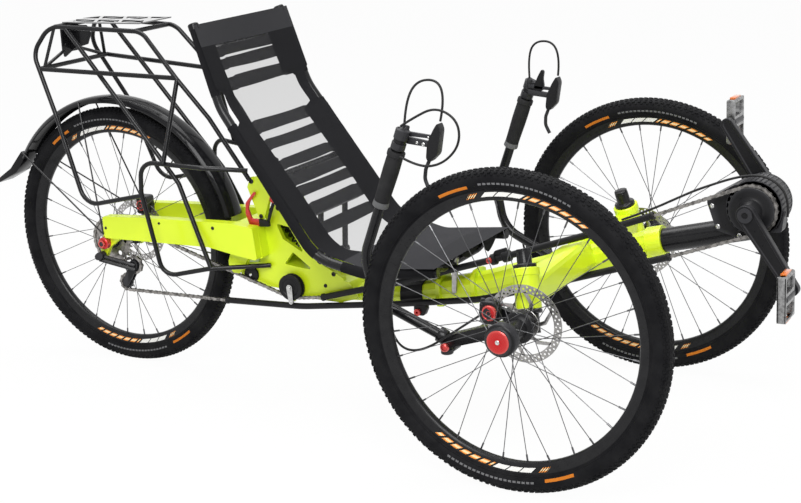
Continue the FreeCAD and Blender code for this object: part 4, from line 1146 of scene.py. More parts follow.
def laid_chain(name, line):
    """Copies of the two links, end to end along a line of (x, z) points."""
    places = [Vector((x, z)) for x, z in line]
    lengths = [(b - a).length for a, b in zip(places, places[1:])]
    count = int(sum(lengths) / PITCH)
    step = sum(lengths) / count

    def along(distance):
        for start, end, length in zip(places, places[1:], lengths):
            if distance <= length:
                return start + (end - start) * (distance / length)
            distance -= length
        return places[-1]

    links = []
    for k in range(count):
        first, last = along(k * step), along((k + 1) * step)
        middle, run = (first + last) / 2, last - first
        turn = Matrix.Rotation(-math.atan2(run.y, run.x), 4, "Y")
        links.append(copy_of(outer_link if k % 2 else inner_link, "link",
                             Matrix.Translation(at(middle.x, CHAIN_Y, middle.y)) @ turn))
    print(name, count, "links")
    return joined(name, *links)


part = joined("chain_detailed", laid_chain("rear_chain", rear_run), laid_chain("front_chain", front_run))
for spare in (outer_link, inner_link):
    bpy.data.objects.remove(spare)
settle(part, "frame", chain_steel, "bare_steel", "chain", smooth=30.0)

# %% [markdown]
# A sprocket's tooth is a small hook-free peak between two round valleys.  One tooth is drawn as a
# wedge from the bore to its tip, copied round, welded into one ring and given its thickness.

# %% Sprockets
def sprocket(name, wheel, bore):
    """A toothed ring for a (x, z, pitch radius, teeth) wheel, from its bore outwards."""
    x, z, pitch_radius, teeth = wheel
    centre = at(x, CHAIN_Y - 1.2, z)
    half = math.pi / teeth
    valley, tip = pitch_radius - 5.2, pitch_radius + 2.6
    rim = [(bore, -half), (bore + 0.55 * (valley - bore), -half), (valley, -half), (valley + 0.6, -0.62 * half),
           (pitch_radius - 1.0, -0.40 * half), (tip, -0.14 * half), (tip, 0.14 * half),
           (pitch_radius - 1.0, 0.40 * half), (valley + 0.6, 0.62 * half), (valley, half),
           (bore + 0.55 * (valley - bore), half), (bore, half)]
    corners = [centre + Vector((math.cos(a), 0.0, math.sin(a))) * (r * MM) for r, a in rim]
    tooth = drawn(name, corners, closed=True)
    edit_all(tooth)
    bpy.ops.mesh.edge_face_add()
    done()
    ring_of(tooth, teeth, centre)
    edit_all(tooth)
    bpy.ops.mesh.remove_doubles(threshold=2e-6)
    bpy.ops.mesh.select_all(action="SELECT")
    bpy.ops.mesh.extrude_region_move(TRANSFORM_OT_translate={"value": (0.0, 2.4 * MM, 0.0)})
    faces_out()
    return tooth


ring = sprocket("chainring_detailed", CHAINRING, 20.2)
settle(ring, "crank", black_anodised, "black_anodised", "chainring")
ring = sprocket("rear_sprocket_detailed", SPROCKET, 20.4)
x, z = SPROCKET[0] + 37.0, SPROCKET[1]
window = tube("window", ((x, CHAIN_Y - 6, z), (x, CHAIN_Y + 6, z)), 6.2, sides=16)
cut_away(ring, ring_of(window, 6, at(SPROCKET[0], CHAIN_Y - 1.2, z)))
settle(ring, "rear_wheel", chain_steel, "bare_steel", "rear_sprocket")

# %% [markdown]
# ### Chain tubes, pulleys and tensioner
#
# Long plastic tubes keep the chain off the rider's trousers.  A big pulley with a keeper plate turns it
# under the seat, and a spring-loaded cage with two jockey wheels keeps it tight behind.

# %% Chain tubes
tubes = [tube("tube", [(x, CHAIN_Y, z) for x, z in route], 7.5, 400.0, sides=20, steps=6)
         for route in (UPPER_TUBE, LOWER_TUBE)]
lips = []
for route in (UPPER_TUBE, LOWER_TUBE):
    for first, second in ((route[0], route[1]), (route[-1], route[-2])):
        foot = at(first[0], CHAIN_Y, first[1])
        axis = (at(second[0], CHAIN_Y, second[1]) - foot).normalized()
        lips.append(lathe("lip", ((5.6, -1.5), (8.4, -1.5), (9.0, 0.0), (8.6, 5.0), (7.6, 7.0), (5.6, 7.0)), foot,
                          axis, 32, closed=True))
part = joined("chain_tubes_detailed", *tubes, *lips)
settle(part, "frame", black_plastic, "black_plastic", "chain_tubes")

# %% Pulleys
IDLER_WHEEL = ((5.0, -8.0), (12.0, -8.0), (13.0, -6.6), (20.0, -6.2), (22.0, -8.2), (30.4, -8.2), (31.4, -7.2),
               (31.2, -5.2), (24.0, -4.2), (22.6, -3.2), (22.6, 3.2), (24.0, 4.2), (31.2, 5.2), (31.4, 7.2),
               (30.4, 8.2), (22.0, 8.2), (20.0, 6.2), (13.0, 6.6), (12.0, 8.0), (5.0, 8.0))
SMALL_WHEEL = ((4.0, -47.6), (16.0, -47.6), (19.2, -46.6), (19.2, -45.6), (15.6, -44.8), (15.6, -43.6),
               (19.2, -42.6), (19.2, -41.4), (16.0, -40.6), (4.0, -40.6))
small_middle = at(-844.0, 0.0, 272.0)
wheel = lathe("idler", IDLER_WHEEL, at(IDLER[0], CHAIN_Y, IDLER[1]), steps=64, closed=True)
small = lathe("small", SMALL_WHEEL, small_middle, steps=48, closed=True)
part = joined("idler_pulleys_detailed", wheel, small)
settle(part, "frame", black_plastic, "black_plastic", "idler_pulleys")
x, z = IDLER[:2]
keeper = strip("keeper", (x, z, 8.0), (x + 2, z - 34, 6.0), -63.6, -61.4, edge=0.4)
BOLT = ((0.0, -66.6), (3.4, -66.6), (3.4, -65.4), (5.0, -65.4), (5.4, -64.4), (5.4, -41.0), (0.0, -41.0))
bolts = [lathe("bolt", BOLT, at(x, 0.0, z), steps=24),
         lathe("pin", ((0.0, -64.6), (2.2, -64.6), (2.2, -42.0), (0.0, -42.0)), at(x + 2, 0.0, z - 35.5),
               steps=16),
         lathe("bolt", ((0.0, -50.4), (3.0, -50.4), (4.0, -49.6), (4.0, -40.4), (0.0, -40.4)), small_middle,
               steps=24)]
part = joined("chain_keeper", keeper, *bolts)
settle(part, "frame", bright_steel, "bare_steel")

# %% Tensioner
part = refined("chain_tensioner", "chain_tensioner_detailed", 0.6, 2, 40.0)
settle(part, "frame", black_anodised, "black_anodised", "chain_tensioner", weighted=True)
wheels = []
for x, z, r in (GUIDE_PULLEY, TENSION_PULLEY):
    root, tip = x + r - 7.0, x + r - 1.2
    jockey = plate("tooth", [(root, z - 2.6), (tip, z - 0.8), (tip, z + 0.8), (root, z + 2.6)], CHAIN_Y - 1.2,
                   CHAIN_Y + 1.2, edge=0.2)
    ring_of(jockey, 11, at(x, CHAIN_Y, z))
    disc = lathe("jockey", ((2.5, -2.2), (6.0, -2.2), (7.0, -1.4), (r - 6.0, -1.2), (r - 6.0, 1.2), (7.0, 1.4),
                            (6.0, 2.2), (2.5, 2.2)), at(x, CHAIN_Y, z), steps=40, closed=True)
    wheels += [jockey, disc]
part = joined("jockey_wheels", *wheels)
settle(part, "frame", black_plastic, "black_plastic")

# %% [markdown]
# ## Seat
#
# The seat is a sling of open mesh, pulled tight between two bent tubes by straps behind it.
# Everything on it is placed by how far it is down the sling from the top, how far out to the side, and
# how deep behind the cloth's front.  So the first step turns the seat's side line, four straight runs
# with rounded corners, into a list of places and headings.

# %% The line of the seat
SEAT_EDGE = ((-845.0, 884.0), (-783.0, 704.0), (-556.0, 388.0), (-440.0, 362.0), (-272.0, 376.0))
SEAT_HALF_WIDTHS = (174.0, 184.0, 196.0, 190.0, 173.0)      # to the middle of a side tube, at each corner
SEAT_BEND = 110.0
RAIL_DEPTH, RAIL_RADIUS, SLEEVE_RADIUS = 13.2, 11.0, 12.0


def rounded_run(corners, radius, step=6.0):
    """Places about a step apart along a line of (x, z) corners, each rounded to a radius."""
    corners = [Vector(corner) for corner in corners]
    ends, places = corners[0], [corners[0]]
    for before, corner, after in zip(corners, corners[1:], corners[2:]):
        back, ahead = (before - corner).normalized(), (after - corner).normalized()
        half = back.angle(ahead) / 2
        reach = min(radius / math.tan(half), 0.45 * min((before - corner).length, (after - corner).length))
        start, end = corner + back * reach, corner + ahead * reach
        count = max(1, round((start - ends).length / step))
        places += [ends.lerp(start, k / count) for k in range(1, count + 1)]
        count = max(2, round((math.pi - 2 * half) * reach * math.tan(half) / step))
        places += [start.lerp(corner, k / count).lerp(corner.lerp(end, k / count), k / count)
                   for k in range(1, count + 1)]
        ends = end
    count = max(1, round((corners[-1] - ends).length / step))
    return places + [ends.lerp(corners[-1], k / count) for k in range(1, count + 1)]


seat_run = rounded_run(SEAT_EDGE, SEAT_BEND)
seat_steps = [(b - a).length for a, b in zip(seat_run, seat_run[1:])]
SEAT_LENGTH = sum(seat_steps)
print(f"sling {SEAT_LENGTH:.0f} mm long")


def seat_place(down, y, depth=0.0):
    """A place on the seat: how far down the sling, how far to the left, how deep behind its front."""
    rest, i = min(max(down, 0.0), SEAT_LENGTH), 0
    while i < len(seat_steps) - 1 and rest > seat_steps[i]:
        rest -= seat_steps[i]
        i += 1
    heading = (seat_run[i + 1] - seat_run[i]).normalized()
    place = seat_run[i] + heading * rest
    return place.x + heading.y * depth, y, place.y - heading.x * depth


def rail_half_width(down):
    """How far out the side tubes are; they splay towards the hips."""
    x = seat_place(down, 0.0)[0]
    for (x_high, _), (x_low, _), wide_high, wide_low in zip(SEAT_EDGE, SEAT_EDGE[1:], SEAT_HALF_WIDTHS,
                                                           SEAT_HALF_WIDTHS[1:]):
        if x <= x_low:
            return wide_high + (wide_low - wide_high) * (x - x_high) / (x_low - x_high)
    return SEAT_HALF_WIDTHS[-1]


MESH_SAG, CUSHION = 9.0, 21.0           # mm, at their most


def sag(down, y):
    """How far the cloth gives in its middle; its ends are hemmed and stay straight."""
    ends = min(1.0, down / 90.0, (SEAT_LENGTH - down) / 90.0)
    return MESH_SAG * max(0.0, 1.0 - (y / 175.0) ** 2) * max(0.0, ends)

# %% [markdown]
# The side tubes are bent, capped and joined by four cross tubes that bow back, clear of the rider's
# spine.  Two legs go down from them to the tower.

# %% Seat frame
def rail_route(start, end, hand, step=7.0):
    count = max(1, round((end - start) / step))
    return [seat_place(start + (end - start) * k / count,
                       hand * rail_half_width(start + (end - start) * k / count), RAIL_DEPTH)
            for k in range(count + 1)]


pieces = []
for hand in (-1, 1):
    pieces.append(tube("rail", rail_route(1.0, SEAT_LENGTH, hand), RAIL_RADIUS, sides=20))
for down, half_width in ((48.0, 176.0), (378.0, 190.0), (487.0, 192.0), (829.0, 175.0)):
    bow = [seat_place(down, y, RAIL_DEPTH + back) for y, back in
           ((-half_width, 0.0), (-half_width + 40, 1.0), (-half_width + 90, 13.0), (half_width - 90, 13.0),
            (half_width - 40, 1.0), (half_width, 0.0))]
    pieces.append(tube("cross_tube", bow, 8.5, 60.0, sides=16))
x, z = -638.0, 329.0
pieces.append(tube("foot", ((x, -60.0, z), (x, 60.0, z)), 10.0, sides=20))
leg_top = seat_place(487.0, 0.0, RAIL_DEPTH + 13.0)
pieces += [tube("leg", ((x, y, z), (leg_top[0], y, leg_top[2])), 7.0, sides=16) for y in (-54.0, 54.0)]
part = joined("seat_frame_detailed", *pieces)
settle(part, "frame", black_paint, "black_paint", "seat_frame")
TUBE_CAP = ((0.0, 6.0), (9.0, 6.0), (11.6, 4.4), (12.6, 2.0), (12.6, -9.0), (11.2, -9.6), (0.0, -9.6))
caps = []
for hand in (-1, 1):
    top, below = at(*seat_place(0.0, hand * 174.0, RAIL_DEPTH)), at(*seat_place(60.0, hand * 177.0, RAIL_DEPTH))
    caps.append(lathe("cap", TUBE_CAP, top, top - below, 40))
part = joined("seat_tube_caps", *caps)
settle(part, "frame", gloss_plastic, "black_plastic")

# %% [markdown]
# The mesh is so open that it lets most of what is behind it through.  Along its sides run hems of dark
# close cloth, and a paler close cloth covers its top and the pan; that cloth is partly a greyer weave and
# partly painted light, the light from above on the top and the pan painted into its colour.  All three are
# one piece here: a grid laid on the seat, whose faces take one cloth or another by where they are.  The hem
# is wider on the left, where the straps are buckled, and is cut back at the shoulders, where the side tubes
# are bare.

# %% Cloth finishes
def cloth(name, colour, alpha, pitch):
    """Woven cloth; the threads follow the piece's own map, which is in metres."""
    finish = new_finish(name, colour, 0.86, Alpha=alpha, Specular_IOR_Level=0.1)
    where = node(finish, "ShaderNodeUVMap")
    waves = []
    for direction in ("X", "Y"):
        wave = node(finish, "ShaderNodeTexWave", BANDS_DIRECTION=direction, Scale=math.pi / pitch / 10,
                    Distortion=0.0)
        link(finish, where.outputs["UV"], wave.inputs["Vector"])
        waves.append(wave.outputs["Fac"])
    raised(finish, maths(finish, "MAXIMUM", *waves), 0.0004)
    return finish


seat_mesh = cloth("seat_mesh", (0.095, 0.095, 0.10), 0.33, 0.0016)
seat_hem = cloth("seat_hem", (0.014, 0.014, 0.016), 1.0, 0.0011)
# The close cloth of the top and the pan is paler than the hem: partly its own greyer weave, partly painted light
# from above.
seat_close_painted_light = cloth("seat_close_painted_light", (0.046, 0.046, 0.05), 1.0, 0.0011)
seat_sleeve = cloth("seat_sleeve", (0.014, 0.014, 0.016), 1.0, 0.0011)

# %% Seat cover
# The close cloth across the top and over the pan is the paler one, with painted light from above in its colour.
HEM_TOP, HEM_PAN = 51.0, 636.0          # the close cloth across the top, and over the pan
BARE = (165.0, 234.0)                   # where the side tubes come out of the cloth
ROWS, COLUMNS, HEM_COLUMNS = 150, 40, 7


def bare(down, soft=16.0):
    """1 between the sleeves, 0 beside them, with a soft corner."""
    share = min((down - BARE[0] + soft) / soft, (BARE[1] + soft - down) / soft, 1.0)
    return max(0.0, share) ** 2 * (3 - 2 * max(0.0, share))


def cover_y(column, down):
    """Where a column of the grid runs: evenly in the hem, then evenly in the mesh, then the hem again."""
    outer = 190.0 - 22.0 * bare(down)
    near = -137.0 + 25.0 * min(1.0, down / 460.0)
    far = 80.0 + 27.0 * min(1.0, down / 440.0) + 40.0 * bare(down)
    if column <= HEM_COLUMNS:
        return -outer + (near + outer) * column / HEM_COLUMNS
    if column >= COLUMNS - HEM_COLUMNS:
        return far + (outer - far) * (column - COLUMNS + HEM_COLUMNS) / HEM_COLUMNS
    return near + (far - near) * (column - HEM_COLUMNS) / (COLUMNS - 2 * HEM_COLUMNS)


def cloth_grid(name, rows, columns, place):
    """A grid whose point (row, column) lies where `place` says, with its map in metres."""
    bpy.ops.object.select_all(action="DESELECT")
    bpy.ops.mesh.primitive_grid_add(x_subdivisions=columns, y_subdivisions=rows, size=1.0)
    piece = bpy.context.object
    piece.name = name
    for vertex in piece.data.vertices:
        column, row = round((vertex.co.x + 0.5) * columns), round((vertex.co.y + 0.5) * rows)
        vertex.co = at(*place(row, column))
    lengths = [0.0]
    for row in range(rows):
        lengths.append(lengths[-1] + (at(*place(row + 1, columns // 2)) - at(*place(row, columns // 2))).length)
    for loop, uv in zip(piece.data.loops, piece.data.uv_layers[0].data):
        across, down = uv.uv
        uv.uv = (piece.data.vertices[loop.vertex_index].co.y, lengths[min(rows, round(down * rows))])
    return piece


def cushion(down, y):
    """How far the close cloth over the pan stands up from the sling, with slight creases."""
    share = max(0.0, min(1.0, (down - 600.0) / 70.0, (SEAT_LENGTH - down) / 40.0))
    creases = math.sin(0.045 * y - 0.03 * down) + 0.6 * math.sin(0.08 * y + 0.05 * down)
    return share * max(0.0, 1.0 - (y / 189.0) ** 2) * (CUSHION + 0.7 * creases)


def cover_place(row, column):
    down = SEAT_LENGTH * row / ROWS
    y = cover_y(column, down)
    return seat_place(down, y, 0.9 + sag(down, y) - cushion(down, y))


cover = cloth_grid("seat_cover_cloth", ROWS, COLUMNS, cover_place)
for finish in (seat_mesh, seat_hem, seat_close_painted_light):
    cover.data.materials.append(finish)
# Faces outside the mesh's rows take the paler close cloth, whose colour holds painted light from above.
for face in cover.data.polygons:
    row, column = divmod(face.index, COLUMNS)
    down = SEAT_LENGTH * (row + 0.5) / ROWS
    inner = HEM_COLUMNS <= column < COLUMNS - HEM_COLUMNS
    face.material_index = 2 if not HEM_TOP < down < HEM_PAN else 0 if inner else 1
area = sum(face.area for face in cover.data.polygons)
print(f"cover {area:.4f} square metres")
settle(cover, "frame", None, "seat_cloth", "seat_cover", smooth=60.0)

# %% [markdown]
# Behind the mesh, flat straps pull the two hems together.  Each is a short grid a little behind the
# cloth; its edges wander by a millimetre or two, since webbing under load never lies quite straight.

# %% Straps
STRAPS = ((10, 49), (56, 80), (84, 111), (128, 159), (240, 272), (290, 318), (345, 371), (388, 416), (420, 446),
          (464, 494), (516, 545))               # top and bottom of each, mm down the sling


def strap(top, bottom, number):
    def place(row, column):
        y = -172.0 + 344.0 * column / 30
        seam = 2.2 if abs(y) > 96.0 + 9.0 * (number % 3) else 0.0
        wander = 0.9 * math.sin(0.021 * y + 1.7 * number + row) + seam
        down = top + (bottom - top) * row / 4 + wander
        return seat_place(down, y, 3.4 + sag(down, y))
    return cloth_grid("strap", 4, 30, place)


straps = [strap(top, bottom, i) for i, (top, bottom) in enumerate(STRAPS)]
part = joined("seat_straps_detailed", *straps[:10])
settle(part, "frame", seat_hem, "seat_cloth", "seat_straps", smooth=60.0)
settle(joined("lowest_strap", straps[10]), "frame", seat_hem, "seat_cloth", smooth=60.0)


def flap_place(first, last, hang):
    """Loose cloth that hangs from the pan's front edge, deepest in its middle."""
    def place(row, column):
        share = column / 10
        drop = hang * row / 4 * (1.0 - abs(2.0 * share - 1.0) ** 1.6)
        return -276.0 - 0.12 * drop, first + (last - first) * share, 371.0 - drop
    return place


flaps = [cloth_grid("flap", 4, 10, flap_place(*row))
         for row in ((-150.0, -78.0, 12.0), (-52.0, 36.0, 17.0), (52.0, 132.0, 30.0))]
settle(joined("seat_front_flaps", *flaps), "frame", seat_hem, "seat_cloth", smooth=60.0)

# %% Sleeves round the side tubes
sleeves = []
for hand in (-1, 1):
    for start, end in ((9.0, BARE[0] - 2), (BARE[1] + 2, 575.0), (640.0, SEAT_LENGTH - 6)):
        sleeves.append(tube("sleeve", rail_route(start, end, hand), SLEEVE_RADIUS, sides=20))
part = joined("seat_sleeves", *sleeves)
for vertex in part.data.vertices:
    x, y, z = vertex.co / MM
    crease = 0.2 * math.sin(0.11 * z + 0.05 * x) + 0.15 * math.sin(0.23 * z - 0.4 * y)
    vertex.co += Vector((0.0, crease * MM * (1 if y > 0 else -1), 0.0))
settle(part, "frame", seat_sleeve, "seat_cloth")

# %% [markdown]
# ## Rack and mudguard
#
# The rack is welded from thin steel tube.  Each tube is a short list of corners, and the left side is
# the right side mirrored.

# %% Rack tubes
RACK_RADIUS = 5.6
UPPER_LOOP = ((-818, -60, 507), (-915, -66, 650), (-993, -76, 744), (-1090, -66, 850), (-1354, -87, 862),
              (-1392, -110, 800), (-1316, -138, 655), (-1240, -152, 438), (-1066, -150, 474))
LOWER_LOOP = ((-820, -62, 530), (-913, -120, 543), (-1062, -150, 556), (-1068, -150, 480), (-1030, -143, 276),
              (-916, -114, 298), (-786, -45.1, 300))
MID_RAIL = ((-1357, -127, 764), (-993, -76, 744))
DIAGONAL = ((-1305, -84, 857), (-1000, -92, 495), (-912, -112, 300))
STRUT = ((-990, -76, 742), (-999, -146, 553))
one_side = joined("rack_side",
                  tube("bar", UPPER_LOOP, RACK_RADIUS, 45.0, sides=16),
                  tube("bar", LOWER_LOOP, RACK_RADIUS, 35.0, sides=16),
                  tube("bar", DIAGONAL, RACK_RADIUS, 35.0, sides=16),
                  tube("bar", MID_RAIL, RACK_RADIUS, sides=16),
                  tube("bar", STRUT, RACK_RADIUS, sides=16))
other = copy_of(one_side, "rack_other_side", SWAP_SIDES)
across = [tube("bar", ((x, -w, z), (x, w, z)), RACK_RADIUS, sides=16)
          for x, w, z in ((-1335.0, 87.0, 861.0), (-1110.0, 68.0, 851.0), (-1357.0, 126.0, 765.0))]
part = joined("rear_rack_detailed", one_side, other, *across)
settle(part, "frame", black_paint, "black_paint", "rear_rack")

# %% Rack plate
bpy.ops.object.select_all(action="DESELECT")
bpy.ops.mesh.primitive_cube_add(size=1.0, location=at(-1214.5, 0.0, 868.5), scale=(235 * MM, 126 * MM, 3 * MM))
deck = bpy.context.object
bpy.ops.object.transform_apply()
for i in range(6):
    x = -1307.0 + 37.0 * i
    for y, way in ((-32.0, 1), (32.0, -1)):
        way = way if i % 2 else -way
        base, peak = y - way * 21, y + way * 21
        hole = drawn("hole", [at(x - 27, base, 860), at(x + 27, base, 860), at(x, peak, 860)], closed=True)
        edit_all(hole)
        bpy.ops.mesh.bevel(offset=3.0 * MM, offset_type="OFFSET", segments=2, affect="VERTICES")
        bpy.ops.mesh.select_all(action="SELECT")
        bpy.ops.mesh.edge_face_add()
        bpy.ops.mesh.extrude_region_move(TRANSFORM_OT_translate={"value": (0, 0, 20 * MM)})
        faces_out()
        cut_away(deck, hole)
deck.name = "rack_plate_detailed"
settle(deck, "frame", plate_gloss, "black_paint", "rack_plate")
braces = [tube("brace", ((-1357, hand * 114, 766), (x, hand * y, z)), 4.2, sides=12) for hand in (-1, 1)
          for x, y, z in ((-1364, 32, 794), (-1340, 84, 860))]
settle(joined("rack_braces", *braces), "frame", black_paint, "black_paint")
part = refined("lamp_bracket", "lamp_bracket_detailed", 0.5, 2, 30.0)
settle(part, "frame", black_paint, "black_paint", "lamp_bracket", weighted=True)

# %% [markdown]
# The mudguard is a shell turned part of the way round the rear axle, with its edges rolled in, and
# a soft flap hangs on its end.  Two thin stays on each side hold it.

# %% Mudguard
MUD_RADIUS, MUD_SHELL, MUD_FRONT, MUD_REAR = 357.0, 2.5, 12.5, 147.0
mud_outer = ((-14.0, -32.0), (-8.0, -28.5), (-3.6, -23.0), (-1.0, -14.0), (0.0, 0.0), (-1.0, 14.0), (-3.6, 23.0),
             (-8.0, 28.5), (-14.0, 32.0))
shell = [(MUD_RADIUS + dr, y) for dr, y in mud_outer] + [(MUD_RADIUS + dr - MUD_SHELL, y * 0.965)
                                                      for dr, y in reversed(mud_outer)]
blade = lathe("blade", shell, at(-WHEELBASE, 0.0, AXLE_Z), steps=90, closed=True, capped=True,
              degrees=MUD_REAR - MUD_FRONT, start=MUD_FRONT)
FLAP = ((-1547, 531), (-1538, 524), (-1545, 505), (-1572, 474), (-1634, 444), (-1640, 452), (-1590, 484))
flap = plate("flap", FLAP, -26.0, 26.0, edge=0.8)
part = joined("rear_mudguard_detailed", blade, flap)
settle(part, "frame", gloss_plastic, "black_plastic", "rear_mudguard")
stays = []
for top_x, top_z in ((-1540, 530), (-1337, 668)):
    for hand in (-1, 1):
        stays.append(tube("stay", ((-1244, hand * 94.0, 352), (top_x, hand * 30.0, top_z)), 2.0, sides=12))
part = joined("mudguard_stays_detailed", *stays)
settle(part, "frame", black_paint, "black_paint", "mudguard_stays")

# %% [markdown]
# ## Pedals
#
# A caged pedal is a barrel on the crank's spindle between two toothed metal plates, with an amber
# reflector on each end.

# %% Pedals
PEDAL_IN, PEDAL_OUT = 112.0, 176.0
PEDAL_BARREL = ((0.0, -174.0), (7.0, -174.0), (11.0, -170.0), (11.0, -116.0), (7.0, -112.0), (0.0, -112.0))
PEDAL_SPINDLE = ((0.0, -113.0), (6.5, -113.0), (6.5, -107.0), (5.0, -107.0), (5.0, -100.3), (0.0, -100.3))


def pedal(side):
    x, z = crank_ends[side]
    parts = []
    for front in (-1, 1):
        face = x + front * 7.4
        parts.append(plate("cage", rectangle(face - 1.3, face + 1.3, z - 46, z + 46), -PEDAL_OUT,
                           -PEDAL_OUT + 3.0, edge=0.4))
    cage = plate("cage", rectangle(x - 9, x + 9, z - 46, z + 46), -PEDAL_OUT, -PEDAL_IN, corner=4.0, edge=0.0)
    for half, low, high, margin in ((20, z - 40, z - 12, 5), (20, z + 12, z + 40, 5), (5, z - 60, z + 60, 7)):
        cut_away(cage, plate("opening", rectangle(x - half, x + half, low, high), -PEDAL_OUT + margin,
                             -PEDAL_IN + 1 - margin, edge=0.0))
    parts.append(broken_edges(cage, 0.5, 2, 40.0))
    barrel = lathe("barrel", PEDAL_BARREL, at(x, 0.0, z), steps=32)
    spindle = lathe("spindle", PEDAL_SPINDLE, at(x, 0.0, z), steps=24)
    name = "right" if side < 0 else "left"
    pins = [lathe("pin", ((0.0, 0.0), (1.6, 0.0), (1.6, 2.6), (0.0, 2.6)), at(x + front * 8.4, y, z + up * 43.0),
                  (front, 0.0, 0.0), 10)
            for front in (-1, 1) for up in (-1, 1) for y in (-170.0, -157.0, -144.0, -131.0, -118.0)]
    metal = joined(f"{name}_pedal_detailed", *parts, *pins)
    middle = joined(f"{name}_pedal_barrel", barrel, spindle)
    reflectors = joined(f"{name}_pedal_reflectors",
                        *[plate("reflector", rectangle(x - 6, x + 6, low, low + 4.4), -163.0, -125.0, edge=0.5)
                          for low in (z - 49.4, z + 45.0)])
    for piece, finish, slot, node_name in ((metal, pedal_steel, "bare_steel", f"{name}_pedal"),
                                           (middle, black_anodised, "bare_steel", None),
                                           (reflectors, amber_reflector, "black_plastic", None)):
        if side > 0:
            piece.data.transform(SWAP_SIDES)
            piece.data.flip_normals()
        settle(piece, f"{name}_pedal_body", finish, slot, *([node_name] if node_name else []))


pedal(-1)
pedal(1)

# %% [markdown]
# ## Steering
#
# Each front wheel turns on a knuckle whose pin goes up through the head tube.  A bar with a grip and a
# brake lever is bolted to each knuckle, and a rod behind the wheels makes both turn together.
# Everything is made for the right side, and `both_sides` hangs it there and its mirror image on the
# left.

# %% Knuckles
def both_sides(piece, name, finish, slot, *stands_for, smooth=38.0):
    """Settle a right-hand piece, and its mirror image on the left."""
    other = copy_of(piece, f"left_{name}", SWAP_SIDES)
    piece.name = f"right_{name}"
    for made, hand in ((piece, "right"), (other, "left")):
        settle(made, f"{hand}_steering", finish, slot, *[f"{hand}_{each}" for each in stands_for],
               smooth=smooth)


pin_top = at(*pin_place(HEAD_HIGH, -1))
pin_axis = (pin_top - at(*pin_place(HEAD_LOW, -1))).normalized()
KNUCKLE_CAP = ((0.0, 0.8), (21.6, 0.8), (23.2, 2.0), (23.2, 7.6), (22.2, 9.2), (15.6, 9.8), (15.1, 12.0),
               (15.1, 33.5), (13.8, 36.2), (9.0, 37.4), (5.4, 37.4), (5.0, 36.0), (0.0, 36.0))
turned_cap = lathe("cap", KNUCKLE_CAP, pin_top, pin_axis, 56)
collar = lathe("collar", ((0.0, -1.0), (25.0, -1.0), (26.2, -2.2), (26.2, -8.0), (24.0, -9.6), (0.0, -9.6)),
               at(*pin_place(HEAD_LOW, -1)), pin_axis, 48)
stub = lathe("stub", ((0.0, -452.0), (8.6, -452.0), (8.6, -352.0), (10.6, -350.0), (10.6, -340.0), (17.0, -338.0),
                      (22.4, -330.0), (22.4, -313.0), (0.0, -313.0)), at(0.0, 0.0, AXLE_Z), steps=40)
part = joined("knuckle_detailed", refined("right_knuckle", "knuckle", 1.6, 2, 30.0), turned_cap, collar, stub)
both_sides(part, "knuckle_detailed", black_paint, "black_paint", "knuckle")

# %% Bars and grips
FOOT = (-184.0, -302.0, 264.0)
BAR_LINE = (FOOT, (-345.0, -316.0, 338.0), (-362.0, -319.0, 432.0), (-266.0, -314.0, 684.0))
bar_low, bar_high = at(*BAR_LINE[2]), at(*BAR_LINE[3])
bar_axis = (bar_high - bar_low).normalized()


def on_bar(share):
    """A place along the straight upper part of the right-hand bar."""
    return bar_low.lerp(bar_high, share)


bar = tube("bar", BAR_LINE, 11.0, 70.0, sides=24, steps=8)
foot_clamp = lathe("clamp", ((11.0, -9.0), (15.4, -9.0), (16.0, -8.0), (16.0, 8.0), (15.4, 9.0), (11.0, 9.0)),
                   at(*FOOT).lerp(at(*BAR_LINE[1]), 0.09), at(*BAR_LINE[1]) - at(*FOOT), 40, closed=True)
both_sides(joined("bar", bar, foot_clamp), "handlebar_detailed", black_paint, "black_paint", "handlebar")
GRIP_STOP = [(17.2, 114.0), (18.6, 115.0), (18.6, 124.0), (17.6, 125.4), (11.7, 125.4)]
ribs = [(15.6 + 1.4 * math.sin(0.022 * (along - 12.0)) ** 2 + (0.0 if along % 4 else 0.45), float(along))
        for along in range(14, 112, 2)]
grip = lathe("grip", [(11.7, 12.0), (15.6, 12.0)] + ribs + GRIP_STOP, on_bar(0.42), bar_axis, 48, closed=True)
both_sides(grip, "grip_detailed", grip_rubber, "grip_rubber", "grip", smooth=50.0)
GRIP_END = ((11.7, -0.6), (14.8, -0.6), (16.6, 1.2), (16.9, 4.0), (16.2, 12.4), (11.7, 12.4))
end = lathe("end", GRIP_END, on_bar(0.42), bar_axis, 48, closed=True)
both_sides(end, "grip_end", grip_grey, "grip_rubber")

# %% [markdown]
# A brake lever is a clamp round the bar's top, a short link, a slim body that holds the hydraulic
# piston, and the blade that the fingers pull.

# %% Brake levers
CLAMP = ((11.6, 0.0), (14.4, 0.0), (15.2, 1.2), (15.2, 14.0), (13.4, 15.0), (13.4, 22.0), (15.2, 23.0),
         (15.2, 42.0), (14.0, 43.2), (11.6, 43.2))
BAR_END = ((0.0, 0.0), (11.4, 0.0), (11.4, 2.6), (8.0, 5.0), (0.0, 5.4))
clamp = lathe("clamp", CLAMP, on_bar(0.90), bar_axis, 40, closed=True)
bar_end = lathe("bar_end", BAR_END, on_bar(1.045), bar_axis, 32)
BODY = ((-187, 714), (-181, 700), (-190, 650), (-209, 632), (-216, 640), (-212, 672), (-197, 700))
body = plate("body", BODY, -308.0, -287.0, corner=5.0, edge=5.0, segments=4)
link_low = plate("link", ((-262, 668), (-205, 662), (-205, 673), (-262, 682)), -304.0, -291.0, edge=2.0)
link_high = plate("link", ((-262, 683), (-206, 680), (-206, 687), (-262, 693)), -301.0, -294.0, edge=1.4)
blade = tube("blade", ((-210, -298, 642), (-221, -300, 618), (-223, -302, 598), (-214, -304, 578)), 4.0, 20.0,
             sides=16)
